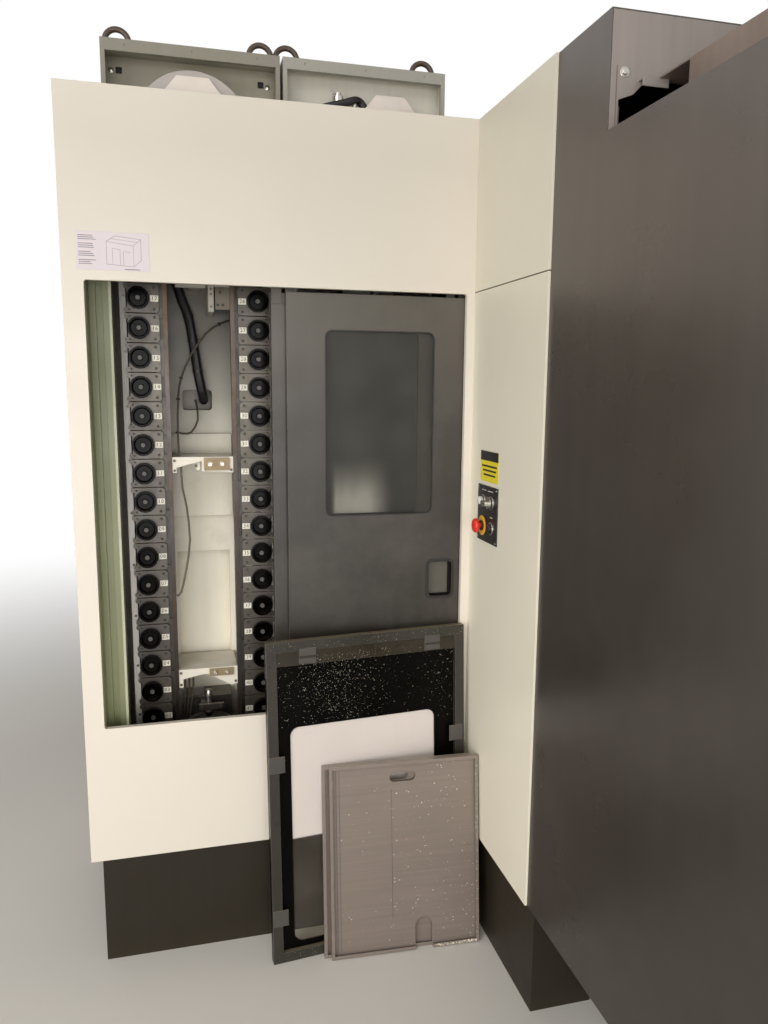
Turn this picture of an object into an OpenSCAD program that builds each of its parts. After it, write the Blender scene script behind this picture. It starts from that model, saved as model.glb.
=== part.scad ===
// Horizontal CNC machining center with an open chain tool magazine at its left side.
// Millimetres. X runs to the right, Y away from the viewer, Z up. The origin is on the floor,
// in the middle of the whole machine. The modules work from the lower left front corner of
// the magazine cabinet, and placed() moves that corner to its place.

/* [Magazine cabinet] */
// Width of the magazine cabinet
mag_w = 1079; // [1070:1:1120]
// Depth of the magazine cabinet
mag_d = 620; // [480:10:900]
// Height of the cabinet and of the tall part of the enclosure
mag_h = 2314; // [2300:1:2400]
// Height of the lower edge of all panels above the floor
skirt_z = 303; // [280:1:306]
// Thickness of the enclosure sheets
sheet = 3; // [2:0.5:4]
// Left edge of the access opening
open_x = 51; // [45:1:54]
// Width of the stile at the right of the access opening
stile_w = 24; // [18:1:26]
// Lower edge of the access opening
open_z = 684; // [660:1:700]
// Height of the access opening
open_h = 1171; // [1100:1:1180]
// Depth of the folded edges round the access opening
open_fold = 15; // [8:1:17]

/* [Magazine chain] */
// Distance between two chain pins
pitch = 80; // [80:0.5:81]
// Teeth of each sprocket
teeth = 8; // [8:1:8]
// Least room between the upper sprocket axis and the roof
top_room = 280; // [275:1:285]
// Height of the lower sprocket axis
bottom_z = 513.5; // [510:0.5:520]
// Sideways place of the left chain loop
loop_x = 333; // [331:1:336]
// Distance between the two chain loops
loop_gap = 474; // [472:1:476]
// Front face of the link plates, behind the cabinet front
chain_y = 182; // [150:1:200]
// Distance from the pin line out to the pot centres
pot_offset = 57.2; // [56:0.1:58]
// Thickness of the link plates
plate_t = 8; // [6:0.5:9]
// Gap between two link plates
plate_gap = 2.5; // [2.5:0.1:5]
// Radius of the pot collar
pot_r = 30; // [26:0.5:30]
// Radial clearance of the pot neck in its plate
neck_clear = 0.3; // [0.1:0.1:0.6]
// Radius of the chain rollers
roller_r = 9; // [8:0.5:9]
// Radius of the chain pins
pin_r = 6; // [5:0.5:7]
// Radius of the sprocket shafts
shaft_r = 18; // [14:0.5:22]
// Radial running clearance of the shafts
shaft_clear = 0.05; // [0.02:0.01:0.09]

/* [Magazine door] */
// Width of the sliding door
door_w = 521; // [510:1:524]
// Thickness of the sliding door
door_t = 28; // [20:1:32]
// Front face of the sliding door, behind the cabinet front
door_y = 20; // [18:1:24]
// Clearance above and below the sliding door
door_clear = 1; // [0.5:0.5:3]
// Left edge of the window in the door
win_x = 104; // [90:1:120]
// Width of the window
win_w = 311; // [260:1:330]
// Height of the window
win_h = 510; // [400:1:520]
// Drop from the top of the door to the window
win_drop = 96; // [60:1:120]

/* [Top covers] */
// Width of one cover on the cabinet roof
cap_w = 466; // [440:1:470]
// Height of the covers above the roof
cap_h = 173; // [150:1:200]
// Front edge of the covers, behind the cabinet front
cap_y = 183; // [170:1:190]
// Outer radius of the lifting eyes
eye_r = 40; // [30:1:44]

/* [Main enclosure] */
// Width of the main enclosure
main_w = 1995; // [1900:5:2400]
// How far the main enclosure stands out in front of the cabinet
front_y = 1750; // [1740:5:2000]
// How far the main enclosure reaches behind the cabinet front
rear_y = 1150; // [900:5:1400]
// How much lower the front part of the enclosure is
low_drop = 222; // [180:1:240]
// Where the tall part begins, in front of the cabinet
step_y = 678; // [640:1:700]
// Depth of the pale side panels
pale_d = 457; // [430:1:480]
// Height of the joint between the two pale side panels
split_z = 1860; // [1700:1:1900]
// How far the pale panels stand proud of the dark wall
proud = 6; // [4:1:10]
// Width of the front door opening
front_open_w = 850; // [800:5:860]
// Height of the front door opening
front_open_h = 1250; // [1100:5:1250]

/* [Machine inside] */
// Height of the slideways above the floor
way_z = 620; // [560:5:640]
// Side of the square pallet
pallet = 500; // [400:5:560]
// Height of the spindle axis at rest
spindle_z = 1350; // [1340:5:1400]
// Radius of the spindle nose
nose_r = 64; // [50:1:80]

/* [Leaning covers] */
// Width of the leaning framed cover
frame_w = 585; // [540:1:590]
// Height of the leaning framed cover
frame_h = 915; // [880:1:940]
// Thickness of the leaning framed cover
frame_t = 25; // [18:1:30]
// Backward lean of the framed cover
frame_tilt = 3.25; // [2:0.05:5]
// Sideways turn of the framed cover
frame_turn = 5.4; // [3:0.1:6]
// Width of the leaning sheet covers
pan_w = 432; // [380:1:434]
// Height of the leaning sheet covers
pan_h = 552; // [480:1:580]
// Depth of the rim of each sheet cover
pan_rim = 13; // [10:1:16]
// Backward lean of the sheet covers
pan_tilt = 5.8; // [5:0.1:8]
// Sideways turn of the sheet covers
pan_turn = -3; // [-4:0.1:-1]

/* [Hidden] */
$fn = 48;
near = 0.3;
white = [0.86, 0.84, 0.78];
sage = [0.5, 0.55, 0.42];
cream = [0.78, 0.76, 0.68];
dark = [0.2, 0.19, 0.19];
black = [0.06, 0.06, 0.07];
steel = [0.55, 0.54, 0.52];
rust = [0.36, 0.28, 0.22];

// Outer plane of the dark wall, right side of the enclosure and frame of the whole machine
wall_x = mag_w + proud;
right_x = wall_x + main_w;
console_out = 120;
total_front = front_y + console_out;
roof_z = mag_h;
low_h = mag_h - low_drop;
open_top = open_z + open_h;
open_right = mag_w - stile_w;
door_h = open_h + 37;
door_z = open_z - 46;
door_x = wall_x - 10 - door_w;
rear_door_x = door_x - 36;
rear_door_y = door_y + door_t + 6;
track_z = open_top + 12;
door_top = door_z + door_h;
win_z = door_top - win_drop - win_h;

// Chain geometry: pin circle, chord distance of a wrapped link, axis heights
sprocket_r = pitch / (2 * sin(180 / teeth));
chord_r = sprocket_r * cos(180 / teeth);
strand_links = floor((mag_h - top_room - bottom_z) / pitch);
top_z = bottom_z + strand_links * pitch;
wrap_links = teeth / 2;
plate_in = 2;
plate_out = 86;
ear_r = 7;
ear_out = 88;
plate_half = (pitch - plate_gap) / 2;
neck_r = pot_r - 3;
link_t = 4.5;
link_half = 13;
link_y = chain_y + plate_t + 1;
layer_gap = 0.5;
roller_y = link_y + 2 * (link_t + layer_gap);
roller_w = 10;
chain_back = roller_y + roller_w + 2 * (link_t + layer_gap);
sprocket_y = roller_y + 1;
sprocket_t = roller_w - 2;
gullet_r = roller_r + 1.5;
tip_r = sprocket_r + 7.5;
flange_y = chain_back + 3;
flange_t = 8;
flange_r = sprocket_r + 0.5;
hub_y = chain_y + plate_t;
bearing_y = flange_y + flange_t + 13;
bearing_half = 70;
bearing_h = 250;
back_y = chain_y + 148;
pot_len = 112;
strip_in = sprocket_r + 89.5;
strip_out = sprocket_r + 101.5;
strip_y = chain_y + plate_t + 2;
rail_in = round(sprocket_r - 19.5);
rail_out = rail_in + 12;
rail_y = chain_y - 6;
rail_d = plate_t + 5;
guide_gap = 0.4;
axis_span = (top_z - bottom_z) / 1520;
mid_bracket_z = between(840.5);
low_bracket_z = bottom_z + 213.5;
top_bracket_z = between(1366.5);
bracket_h = 44;

// Places of the four straight strands and of the two loops
loops = [loop_x, loop_x + loop_gap];
rising_x = [for (x = loops) x - sprocket_r];
falling_x = [for (x = loops) x + sprocket_r];

// Main machine, inside the enclosure
mid_x = wall_x + main_w / 2;
rail_h = 30;
bed_in = 215;
column_w = 600;
column_y = 60;
column_d = 620;
column_z = way_z + rail_h;
column_h = 1480;
head_w = 460;
head_h = 440;
head_y = -300;
quill_r = 110;
quill_y = -420;
nose_y = -480;
table_y = -1000;
saddle_h = 150;
turn_r = 240;
turn_h = 100;
pallet_h = 80;
pallet_z = column_z + saddle_h + turn_h;
front_open_x = wall_x + 400;
front_open_z = low_h - 142 - front_open_h;
front_door_y = -front_y + sheet + 0.5;
front_door_lap = 20;

// Side control station on the pale side panel
station_y = -138;
station_z = 1257.5;
station_w = 139;
station_h = 155;
station_t = 3;
knob_dy = 30;
knob_dz = 35;

// Moves the working corner so that the floor origin is in the middle of the machine
module placed() {
    translate([-right_x / 2, (total_front - rear_y) / 2, 0]) children();
}

// A block given by two opposite corners
module block(a, b) {
    translate(a) cube(b - a);
}

// A flat outline in the X Z plane, made thick along Y from y0
module upright(y0, t) {
    translate([0, y0 + t, 0]) rotate([90, 0, 0]) linear_extrude(t) children();
}

// A round bar along Y from y0
module bar_y(x, z, y0, l, r) {
    translate([x, y0, z]) rotate([-90, 0, 0]) cylinder(h = l, r = r);
}

// A rectangle with round corners, in its own plane
module round_rect(w, h, r) {
    translate([r, 0]) square([w - 2 * r, h]);
    translate([0, r]) square([w, h - 2 * r]);
    for (x = [r, w - r], y = [r, h - r]) translate([x, y]) circle(r, $fn = 24);
}

// Smooth route through hand chosen points, and the tube swept along it
function route_at(p, i, s) =
    let (a = p[max(i - 1, 0)], b = p[i], c = p[i + 1], d = p[min(i + 2, len(p) - 1)])
    0.5 * (2 * b + (c - a) * s + (2 * a - 5 * b + 4 * c - d) * s * s
        + (3 * b - a - 3 * c + d) * s * s * s);
function smooth(p, n) = concat(
    [for (i = [0 : len(p) - 2], k = [0 : n - 1]) route_at(p, i, k / n)], [p[len(p) - 1]]);
function unit(v) = v / norm(v);
function along(p, i) = unit(p[i + 1] - p[i - 1]);
function normals(d, i, n) = i == len(d) ? [] :
    let (m = unit(n - (n * d[i]) * d[i])) concat([m], normals(d, i + 1, m));

module tube(points, r, sides = 8, steps = 2) {
    path = smooth(points, steps);
    count = len(path);
    last_point = len(points) - 1;
    heading = concat([unit(points[1] - points[0])], [for (i = [1 : count - 2]) along(path, i)],
        [unit(points[last_point] - points[last_point - 1])]);
    across = normals(heading, 0, [0.1, 1, 0.2]);
    rings = [for (i = [0 : count - 1], k = [0 : sides - 1])
        let (a = 360 * k / sides)
        path[i] + r * (cos(a) * across[i] + sin(a) * cross(heading[i], across[i]))];
    skin = [for (i = [0 : count - 2], k = [0 : sides - 1])
        let (a = i * sides + k, b = i * sides + (k + 1) % sides)
        each [[a, b + sides, b], [a, a + sides, b + sides]]];
    first = [for (k = [0 : sides - 1]) k];
    last = [for (k = [sides - 1 : -1 : 0]) (count - 1) * sides + k];
    polyhedron(rings, concat(skin, [first, last]));
}

// Height above the lower axis, kept in proportion to the distance of the axes
function between(h) = bottom_z + h * axis_span;

// Cable routes
main_route = [[240, back_y - 15, roof_z - sheet], [240, back_y - 15, top_z + 146.5],
    [238, back_y - 15, top_z - 48.5], [239, back_y - 15, top_z - 85.5],
    [262, back_y - 17, top_z - 128.5], [277, back_y - 19, top_z - 148.5],
    [289, back_y - 20, between(1330.5)], [306, back_y - 24, between(1285.5)],
    [317, back_y - 28, between(1216.5)], [329, back_y - 28, between(1126.5)],
    [336, back_y - 25, between(1086.5)], [342, back_y - 16, between(1058.5)],
    [345, back_y + 8, between(1042.5)], [346, back_y + 56, between(1042.5)]];
upper_route = [[428, back_y, between(1278.5)], [426, back_y - 30, between(1276.5)],
    [392, back_y - 50, between(1262.5)], [354, back_y - 60, between(1234.5)],
    [311, back_y - 70, between(1174.5)], [280, back_y - 76, between(1106.5)],
    [270, back_y - 90, between(1046.5)], [266, back_y - 110, between(951.5)],
    [268, back_y - 120, mid_bracket_z + 46]];
loop_route = [[322, back_y + 55, between(1038.5)], [322, back_y - 20, between(1036.5)],
    [325, back_y - 60, between(986.5)], [304, back_y - 80, between(950.5)],
    [280, back_y - 100, between(948.5)], [268, back_y - 122, between(952.5)]];
lower_route = [[272, chain_y + 9, mid_bracket_z + 19], [274, chain_y + 6, mid_bracket_z - 44],
    [284, chain_y + 8, mid_bracket_z - 98], [291, chain_y + 12, mid_bracket_z - 198],
    [278, chain_y + 8, mid_bracket_z - 284], [262, chain_y + 4, mid_bracket_z - 350],
    [loop_x - rail_in, chain_y + 1, mid_bracket_z - 358]];
drop_routes = [for (dx = [0, 12, 24]) [[266 + dx, chain_y + 52, low_bracket_z + bracket_h - 6],
    [265 + dx, chain_y + 56, bottom_z + 176.5], [262 + dx * 0.8, chain_y + 57, bottom_z + 126.5],
    [255 + dx * 0.7, chain_y + 57, bottom_z + 46.5], [244 + dx * 0.5, chain_y + 58, bottom_z - 33.5],
    [242 + dx * 0.5, chain_y + 80, bottom_z - 83.5], [242 + dx * 0.5, back_y, bottom_z - 88.5]]];

/* Cabinet of the tool magazine */

module magazine_front_panel() {
    fold = 25;
    color(white) placed() difference() {
        block([0, 0, skirt_z], [mag_w, fold, mag_h]);
        difference() {
            block([sheet, sheet, skirt_z + sheet], [mag_w - sheet, fold + 1, mag_h - sheet]);
            block([open_x - sheet, 0, open_z - sheet], [open_right + sheet, open_fold, open_top + sheet]);
        }
        upright(-1, fold + 2) translate([open_x, open_z])
            round_rect(open_right - open_x, open_h, 6);
    }
}

module magazine_cabinet() {
    gap = 60;
    slot_x = loop_x - cap_w / 2 + gap;
    color(cream) placed() difference() {
        union() {
            block([0, 25, skirt_z], [sheet, mag_d, mag_h]);
            block([0, mag_d - sheet, skirt_z], [wall_x, mag_d, mag_h]);
            block([0, 25, mag_h - sheet], [wall_x, mag_d, mag_h]);
            block([0, 25, skirt_z], [wall_x, mag_d, skirt_z + sheet]);
        }
        block([slot_x, chain_y + 33, mag_h - sheet - 1],
            [slot_x + cap_w - 2 * gap, cap_y + 110, mag_h + 1]);
    }
}

// Two hollow plinths that meet at the corner of the two walls
module plinths() {
    recess = 5;
    left = 30;
    wall = 4;
    inset = wall_x + 19;
    depth = 170;
    front = -pale_d - 3;
    color(black) placed() {
        difference() {
            block([left, recess, 0], [inset, mag_d - 40, skirt_z]);
            block([left + wall, recess + wall, -1], [inset - wall, mag_d - 40 - wall, skirt_z - wall]);
        }
        difference() {
            block([inset, front, 0], [inset + depth, recess, skirt_z]);
            block([inset + wall, front + wall, -1], [inset + depth - wall, recess - wall, skirt_z - wall]);
        }
    }
}

// Folded liner beside the opening, with an open channel down its middle
module left_liner() {
    a = open_x - 1;
    face = chain_y - 90;
    t = 3;
    groove = 9;
    color(sage) placed() translate([0, 0, skirt_z + sheet])
        linear_extrude(mag_h - skirt_z - 2 * sheet)
        polygon([[a, open_fold + 3], [a + t, open_fold + 3], [a + t, face], [a + 19, face],
            [a + 19, face + groove], [a + 36, face + groove], [a + 36, face], [a + 58, face],
            [a + 58, chain_y - 22], [a + 55, chain_y - 22], [a + 55, face + t],
            [a + 36 + t, face + t], [a + 36 + t, face + groove + t], [a + 19 - t, face + groove + t],
            [a + 19 - t, face + t], [a, face + t]]);
}

function cap_places() = [for (x = loops) x - cap_w / 2];

// Open fronted cover on the roof; its inner panel stands back from the front edge
module top_cover(x, inner) {
    band = 30;
    side = 12;
    depth = mag_d - 20;
    difference() {
        block([x, cap_y, mag_h], [x + cap_w, depth, mag_h + cap_h]);
        block([x + side, cap_y - 1, mag_h - 1], [x + cap_w - side, inner, mag_h + cap_h - band]);
        block([x + sheet, cap_y + 14, mag_h - 1], [x + cap_w - sheet, inner, mag_h + cap_h - sheet]);
        block([x + sheet, inner + sheet, mag_h - 1],
            [x + cap_w - sheet, depth - sheet, mag_h + cap_h - sheet]);
    }
}

module top_cover_left() {
    color(cream) placed() top_cover(cap_places()[0], cap_y + 118);
}

module top_cover_right() {
    color(cream) placed() top_cover(cap_places()[1], cap_y + 62);
}

module lifting_eyes() {
    y = chain_y + 168;
    bar = 8;
    color(steel) placed() for (dx = [35, cap_w - 36, loop_gap + 32, loop_gap + cap_w - 20])
        translate([cap_places()[0] + dx, y, mag_h + cap_h]) {
            cylinder(h = 8, r = 18);
            cylinder(h = 20, r = 11);
            translate([0, 0, eye_r + 13]) rotate([90, 0, 0])
                rotate_extrude() translate([eye_r - bar, 0]) circle(bar, $fn = 24);
        }
}

// Arched cover of the index drive and the chamfered plates in front of it
module drive_covers() {
    arch_r = 155;
    arch_z = mag_h - 31;
    cut_z = mag_h - 64;
    plate_z = mag_h + 104;
    half = 42;
    drop = 50;
    color(white) placed() {
        intersection() {
            bar_y(loop_x, arch_z, chain_y + 33, 6, arch_r);
            block([0, 0, cut_z], [mag_w, mag_d, mag_h + cap_h]);
        }
        for (x = [loop_x, loop_x + loop_gap + 76]) {
            upright(chain_y + 19, 4) polygon([[x - half, plate_z], [x + half, plate_z],
                [x + half + drop, plate_z - 60], [x + half + drop, mag_h],
                [x - half - drop, mag_h], [x - half - drop, plate_z - 60]]);
            block([x - half, chain_y + 23, mag_h], [x + half, chain_y + 33, mag_h + 40]);
        }
    }
}

module air_cylinder() {
    x = loop_x + loop_gap - 72;
    color(steel) placed() {
        translate([x, cap_y + 40, mag_h]) cylinder(h = 96, r = 15);
        translate([x, cap_y + 40, mag_h + 96]) cylinder(h = 10, r = 9);
        block([x - 18, cap_y + 22, mag_h], [x + 18, cap_y + 58, mag_h + 24]);
    }
}

module air_hose() {
    x = loop_x + loop_gap - 72;
    y = cap_y + 40;
    color(black) placed() tube([[x - 82, y - 6, mag_h], [x - 82, y - 6, mag_h + 28],
        [x - 64, y - 12, mag_h + 50], [x - 30, y - 28, mag_h + 60], [x + 14, y - 28, mag_h + 72],
        [x + 42, y - 14, mag_h + 86], [x + 60, y, mag_h + 90], [x + 76, y + 4, mag_h + 76],
        [x + 80, y + 4, mag_h + 40], [x + 80, y + 4, mag_h]], 11, 10);
}

/* Fixed frame of the magazine */

module frame_side_plates() {
    color(white) placed() for (x = loops, s = [-1, 1])
        block([x + (s < 0 ? -strip_out : strip_in), strip_y, skirt_z + sheet],
            [x + (s < 0 ? -strip_in : strip_out), back_y, mag_h - sheet]);
}

// Rails with a rear tongue that the chain rollers run along
module guide_rails() {
    web = sprocket_r - link_half - guide_gap;
    tongue = sprocket_r - roller_r - guide_gap;
    low = bottom_z + tip_r - 32;
    high = top_z - tip_r + 32;
    color(rust) placed() for (x = loops, s = [0, 1]) translate([x, 0, 0]) mirror([s, 0, 0]) {
        block([rail_in, rail_y, bottom_z + 10], [rail_out, rail_y + rail_d, top_z - 6]);
        block([rail_in, rail_y, low], [web, roller_y + 1, high]);
        block([rail_in, roller_y + 1, low], [tongue, roller_y + roller_w - 1, high]);
    }
}

// Back sheet of each loop: a window with a tray behind it, a ledge and a shallow lower pocket
module back_panels() {
    ledge_z = mid_bracket_z - 146;
    pocket_low = low_bracket_z + 8;
    pocket_high = mid_bracket_z - 258;
    hole_low = between(1012.5);
    color(cream) placed() for (x = loops) difference() {
        union() {
            block([x - strip_out, back_y, skirt_z + sheet], [x + strip_out, back_y + 3, mag_h - sheet]);
            block([x - 90, back_y - 16, ledge_z], [x + 90, back_y, hole_low - 70]);
            block([x - 64, back_y, hole_low - 12], [x + 50, back_y + 62, hole_low + 72]);
            block([x - 86, back_y, pocket_low - 12], [x + 86, back_y + 30, pocket_high + 12]);
        }
        upright(back_y - 20, 78) translate([x - 50, hole_low]) round_rect(86, 60, 10);
        block([x - 78, back_y - 20, pocket_low], [x + 78, back_y + 24, pocket_high]);
    }
}

// Brackets that carry the guide rails from the back sheet
module cross_brackets() {
    color(cream) placed() for (x = loops) {
        upright(chain_y - 4, 8) translate([x, mid_bracket_z]) polygon([[-rail_in, 0], [-73, 0], [-73, 14],
            [-4, 32], [-4, 3], [rail_in, -2], [rail_in, bracket_h], [-rail_in, bracket_h]]);
        upright(chain_y - 4, 8) translate([x, low_bracket_z]) polygon([[-rail_in, -11], [-73, -11],
            [-73, 14], [-9, 27], [7, 22], [64, -13], [rail_in, -9], [rail_in, bracket_h],
            [-rail_in, bracket_h]]);
        for (z = [mid_bracket_z, low_bracket_z])
            block([x - rail_in, chain_y + 4, z + bracket_h - 6],
                [x + rail_in, back_y - (z == mid_bracket_z ? 16 : 0), z + bracket_h]);
        upright(chain_y + 6, 6) translate([x, mid_bracket_z]) polygon([[-68, 18], [-30, 24], [-16, 6],
            [-8, 6], [-8, bracket_h - 6], [-60, bracket_h - 6]]);
        block([x - 62, chain_y + 20, top_bracket_z - 12], [x + 20, chain_y + 30, top_bracket_z]);
        block([x + 26, chain_y, top_bracket_z - 78], [x + 41, back_y, top_bracket_z]);
        block([x + 41, chain_y + 2, top_bracket_z - 10], [x + rail_in, chain_y + 8, top_bracket_z]);
        block([x - 26, chain_y + 30, top_bracket_z - 6], [x + 41, back_y, top_bracket_z]);
    }
}

module switch_blocks() {
    color("peru") placed() for (x = loops) {
        for (p = [[mid_bracket_z, 6], [low_bracket_z, 20]]) {
            block([x + 3, chain_y - 10, p[0] + p[1]], [x + 73, chain_y - 4, p[0] + 41]);
            for (dx = [20, 54]) bar_y(x + dx, p[0] + p[1] / 2 + 20.5, chain_y - 15, 5, 6);
        }
        block([x + 45, chain_y + 1, top_bracket_z - 71], [x + rail_in, chain_y + 8, top_bracket_z - 10]);
    }
}

// Bearing housings of the four sprocket shafts, with a boss round each blind bore.
// Each one reaches away from the half turn of the chain.
module bearing_housings() {
    short = 95;
    color(black) placed() for (x = loops, up = [-1, 1])
        translate([x, 0, up > 0 ? top_z : bottom_z]) mirror([0, 0, up > 0 ? 1 : 0]) difference() {
            union() {
                block([-bearing_half, bearing_y, -short],
                    [bearing_half, back_y, up > 0 ? short : bearing_h / 2 + 20]);
                bar_y(0, 0, bearing_y - 8, 9, shaft_r + 22);
                for (dx = [-36, 36]) bar_y(dx, up > 0 ? 70 : bearing_h / 2, bearing_y - 7, 8, 9);
            }
            bar_y(0, 0, bearing_y - 9, 60, shaft_r + shaft_clear);
        }
}

module main_cable() {
    color(black) placed() tube(main_route, 14, 12);
}

module sensor_cables() {
    color(black) placed() {
        tube(upper_route, 3);
        tube(loop_route, 3);
        tube(lower_route, 3);
        for (p = drop_routes) tube(p, 3);
    }
}

// Tracks of the two sliding doors: a flat top track, and a sill with a rib behind each door
module door_tracks() {
    left = open_x + 3;
    front = door_y - 5;
    rear = rear_door_y + door_t + 5;
    right = mag_w - sheet;
    color(cream) placed() {
        block([left, front, track_z], [right, rear, track_z + 4]);
        block([left, sheet, door_z - 5], [right, rear, door_z - door_clear]);
        for (y = [door_y, rear_door_y])
            block([left, y + door_t + 1, door_z - 5], [right, y + door_t + 5, door_z + 8]);
    }
}

/* Chain: one link with its plate, in its own frame. Outward is +X, along the chain is +Z. */

module link_plate() {
    c = 6;
    upright(chain_y, plate_t) difference() {
        union() {
            polygon([[plate_in + c, -plate_half], [plate_out, -plate_half], [plate_out, plate_half],
                [plate_in + c, plate_half], [plate_in, plate_half - c], [plate_in, c - plate_half]]);
            for (s = [-1, 1]) {
                translate([ear_out, s * (plate_half - ear_r)]) circle(ear_r, $fn = 24);
                translate([plate_out - 4, s * (plate_half - ear_r) - ear_r]) square([6, 2 * ear_r]);
            }
        }
        translate([pot_offset, 0]) circle(neck_r + neck_clear);
    }
}

// A pair of link bars with round ends; cut shortens an end that meets a neighbour's pin
module link_bars(layer, cut_low, cut_high) {
    front = link_y + (layer == 0 ? 0 : link_t + layer_gap);
    rear = chain_back - link_t - (layer == 0 ? 0 : link_t + layer_gap);
    low = -pitch / 2 + cut_low;
    high = pitch / 2 - cut_high;
    for (y = [front, rear]) upright(y, link_t) {
        translate([-link_half, low]) square([2 * link_half, high - low]);
        if (cut_low == 0) translate([0, low]) circle(link_half, $fn = 24);
        if (cut_high == 0) translate([0, high]) circle(link_half, $fn = 24);
    }
}

module chain_link(layer, cut_low = 0, cut_high = 0) {
    link_plate();
    link_bars(layer, cut_low, cut_high);
    for (v = [-18, 18]) bar_y(4 + plate_in, v, chain_y + plate_t - 1, link_y - chain_y - plate_t + 2
        + (layer == 0 ? 0 : link_t + layer_gap), 3.5);
}

module chain_pin() {
    bar_y(0, 0, link_y, chain_back - link_y, pin_r);
    bar_y(0, 0, roller_y, roller_w, roller_r);
}

// One tool pot: collar, shallow dished front with a centre stud, neck, barrel and tail
module tool_pot() {
    translate([pot_offset, chain_y, 0]) rotate([-90, 0, 0]) rotate_extrude()
        polygon([[0, -9], [7, -9], [8, -8], [8, -3], [21, -3], [24.5, -14], [pot_r - 1, -14],
            [pot_r, -13], [pot_r, 0], [neck_r, 0], [neck_r, plate_t + near], [pot_r, plate_t + near],
            [pot_r, 76], [pot_r - 8, 84], [18, 84], [18, pot_len - 2], [16, pot_len], [0, pot_len]]);
}

// A whole strand: side is -1 where outward is to the left
module strand_places(x, side) {
    for (i = [0 : strand_links - 1])
        translate([x, 0, bottom_z + (i + 0.5) * pitch]) mirror([side < 0 ? 1 : 0, 0, 0])
            children();
}

module strand_chain(x, side, first) {
    for (i = [0 : strand_links - 1])
        translate([x, 0, bottom_z + (i + 0.5) * pitch]) mirror([side < 0 ? 1 : 0, 0, 0])
            chain_link((i + first) % 2);
    for (i = [0 : strand_links]) translate([x, 0, bottom_z + i * pitch]) chain_pin();
}

// Places of the links round half a sprocket: up is 1 on the upper axis and -1 on the lower
module wrap_places(x, up) {
    step = 360 / teeth;
    translate([x, 0, up > 0 ? top_z : bottom_z]) mirror([0, 0, up > 0 ? 0 : 1])
        for (i = [0 : wrap_links - 1]) rotate([0, -(i + 0.5) * step, 0])
            translate([chord_r, 0, 0]) children();
}

module wrap_chain(x, up) {
    step = 360 / teeth;
    cut = 20;
    flip = up > 0 ? 0 : 1;
    translate([x, 0, up > 0 ? top_z : bottom_z]) mirror([0, 0, flip])
        for (i = [0 : wrap_links - 1]) rotate([0, -(i + 0.5) * step, 0])
            translate([chord_r, 0, 0]) chain_link((i + flip) % 2, i == 0 ? cut : 0,
                i == wrap_links - 1 ? cut : 0);
    translate([x, 0, up > 0 ? top_z : bottom_z]) mirror([0, 0, flip])
        for (i = [1 : wrap_links - 1]) rotate([0, -i * step, 0])
            translate([sprocket_r, 0, 0]) chain_pin();
}

// Sprocket with open gullets, a lightened web, hub, rear flange and shaft
module sprocket(x, z) {
    step = 360 / teeth;
    wide = gullet_r + 6;
    translate([x, 0, z]) {
        upright(sprocket_y, sprocket_t) difference() {
            circle(tip_r, $fn = 96);
            for (i = [0 : teeth - 1]) rotate(i * step) {
                translate([sprocket_r, 0]) circle(gullet_r);
                polygon([[sprocket_r, -gullet_r], [tip_r + 3, -wide], [tip_r + 3, wide],
                    [sprocket_r, gullet_r]]);
            }
            for (i = [0 : 3]) rotate(45 + i * 90) translate([62, 0]) circle(15);
        }
        bar_y(0, 0, hub_y, flange_y - hub_y, 34);
        bar_y(0, 0, flange_y, flange_t, flange_r);
        bar_y(0, 0, hub_y - 6, bearing_y + 44 - hub_y, shaft_r);
    }
}

module chain_rising() {
    color(dark) placed() for (x = rising_x) strand_chain(x, -1, 0);
}

module pots_rising() {
    color(black) placed() for (x = rising_x) strand_places(x, -1) tool_pot();
}

module chain_falling() {
    color(dark) placed() for (x = falling_x) strand_chain(x, 1, 1);
}

module pots_falling() {
    color(black) placed() for (x = falling_x) strand_places(x, 1) tool_pot();
}

module wheel(x, z, up) {
    sprocket(x, z);
    wrap_chain(x, up);
}

module top_wheel_left() {
    color(steel) placed() wheel(loops[0], top_z, 1);
}

module top_pots_left() {
    color(black) placed() wrap_places(loops[0], 1) tool_pot();
}

module bottom_sprocket_left() {
    color(rust) placed() sprocket(loops[0], bottom_z);
}

module bottom_chain_left() {
    color(dark) placed() wrap_chain(loops[0], -1);
}

module bottom_pots_left() {
    color(black) placed() wrap_places(loops[0], -1) tool_pot();
}

module top_wheel_right() {
    color(steel) placed() wheel(loops[1], top_z, 1);
}

module top_pots_right() {
    color(black) placed() wrap_places(loops[1], 1) tool_pot();
}

module bottom_wheel_right() {
    color(steel) placed() wheel(loops[1], bottom_z, -1);
}

module bottom_pots_right() {
    color(black) placed() wrap_places(loops[1], -1) tool_pot();
}

/* Sliding door of the magazine */

handle_x = 405;
handle_w = 76;
handle_h = 109;
handle_top = 746;

// Folded door skin with a window, a finger cup and two hangers that reach up to the track
module sliding_door(x, y, cup_x, hanger_y) {
    difference() {
        block([x, y, door_z], [x + door_w, y + door_t, door_top]);
        block([x + sheet, y + sheet, door_z + sheet], [x + door_w - sheet, y + door_t + 1, door_top - sheet]);
        upright(y - 1, sheet + 2) translate([x + win_x, win_z]) round_rect(win_w, win_h, 20);
        upright(y - 1, sheet + 2) translate([x + cup_x, door_top - handle_top - handle_h])
            round_rect(handle_w, handle_h, 14);
    }
    for (dx = [2, door_w - 28])
        block([x + dx, hanger_y, door_top - 28], [x + dx + 26, hanger_y + 3, track_z - 0.5]);
}

module door_pane(x, y) {
    lap = 14;
    upright(y + sheet, 5) translate([x + win_x - lap, win_z - lap])
        round_rect(win_w + 2 * lap, win_h + 2 * lap, 24);
}

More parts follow.
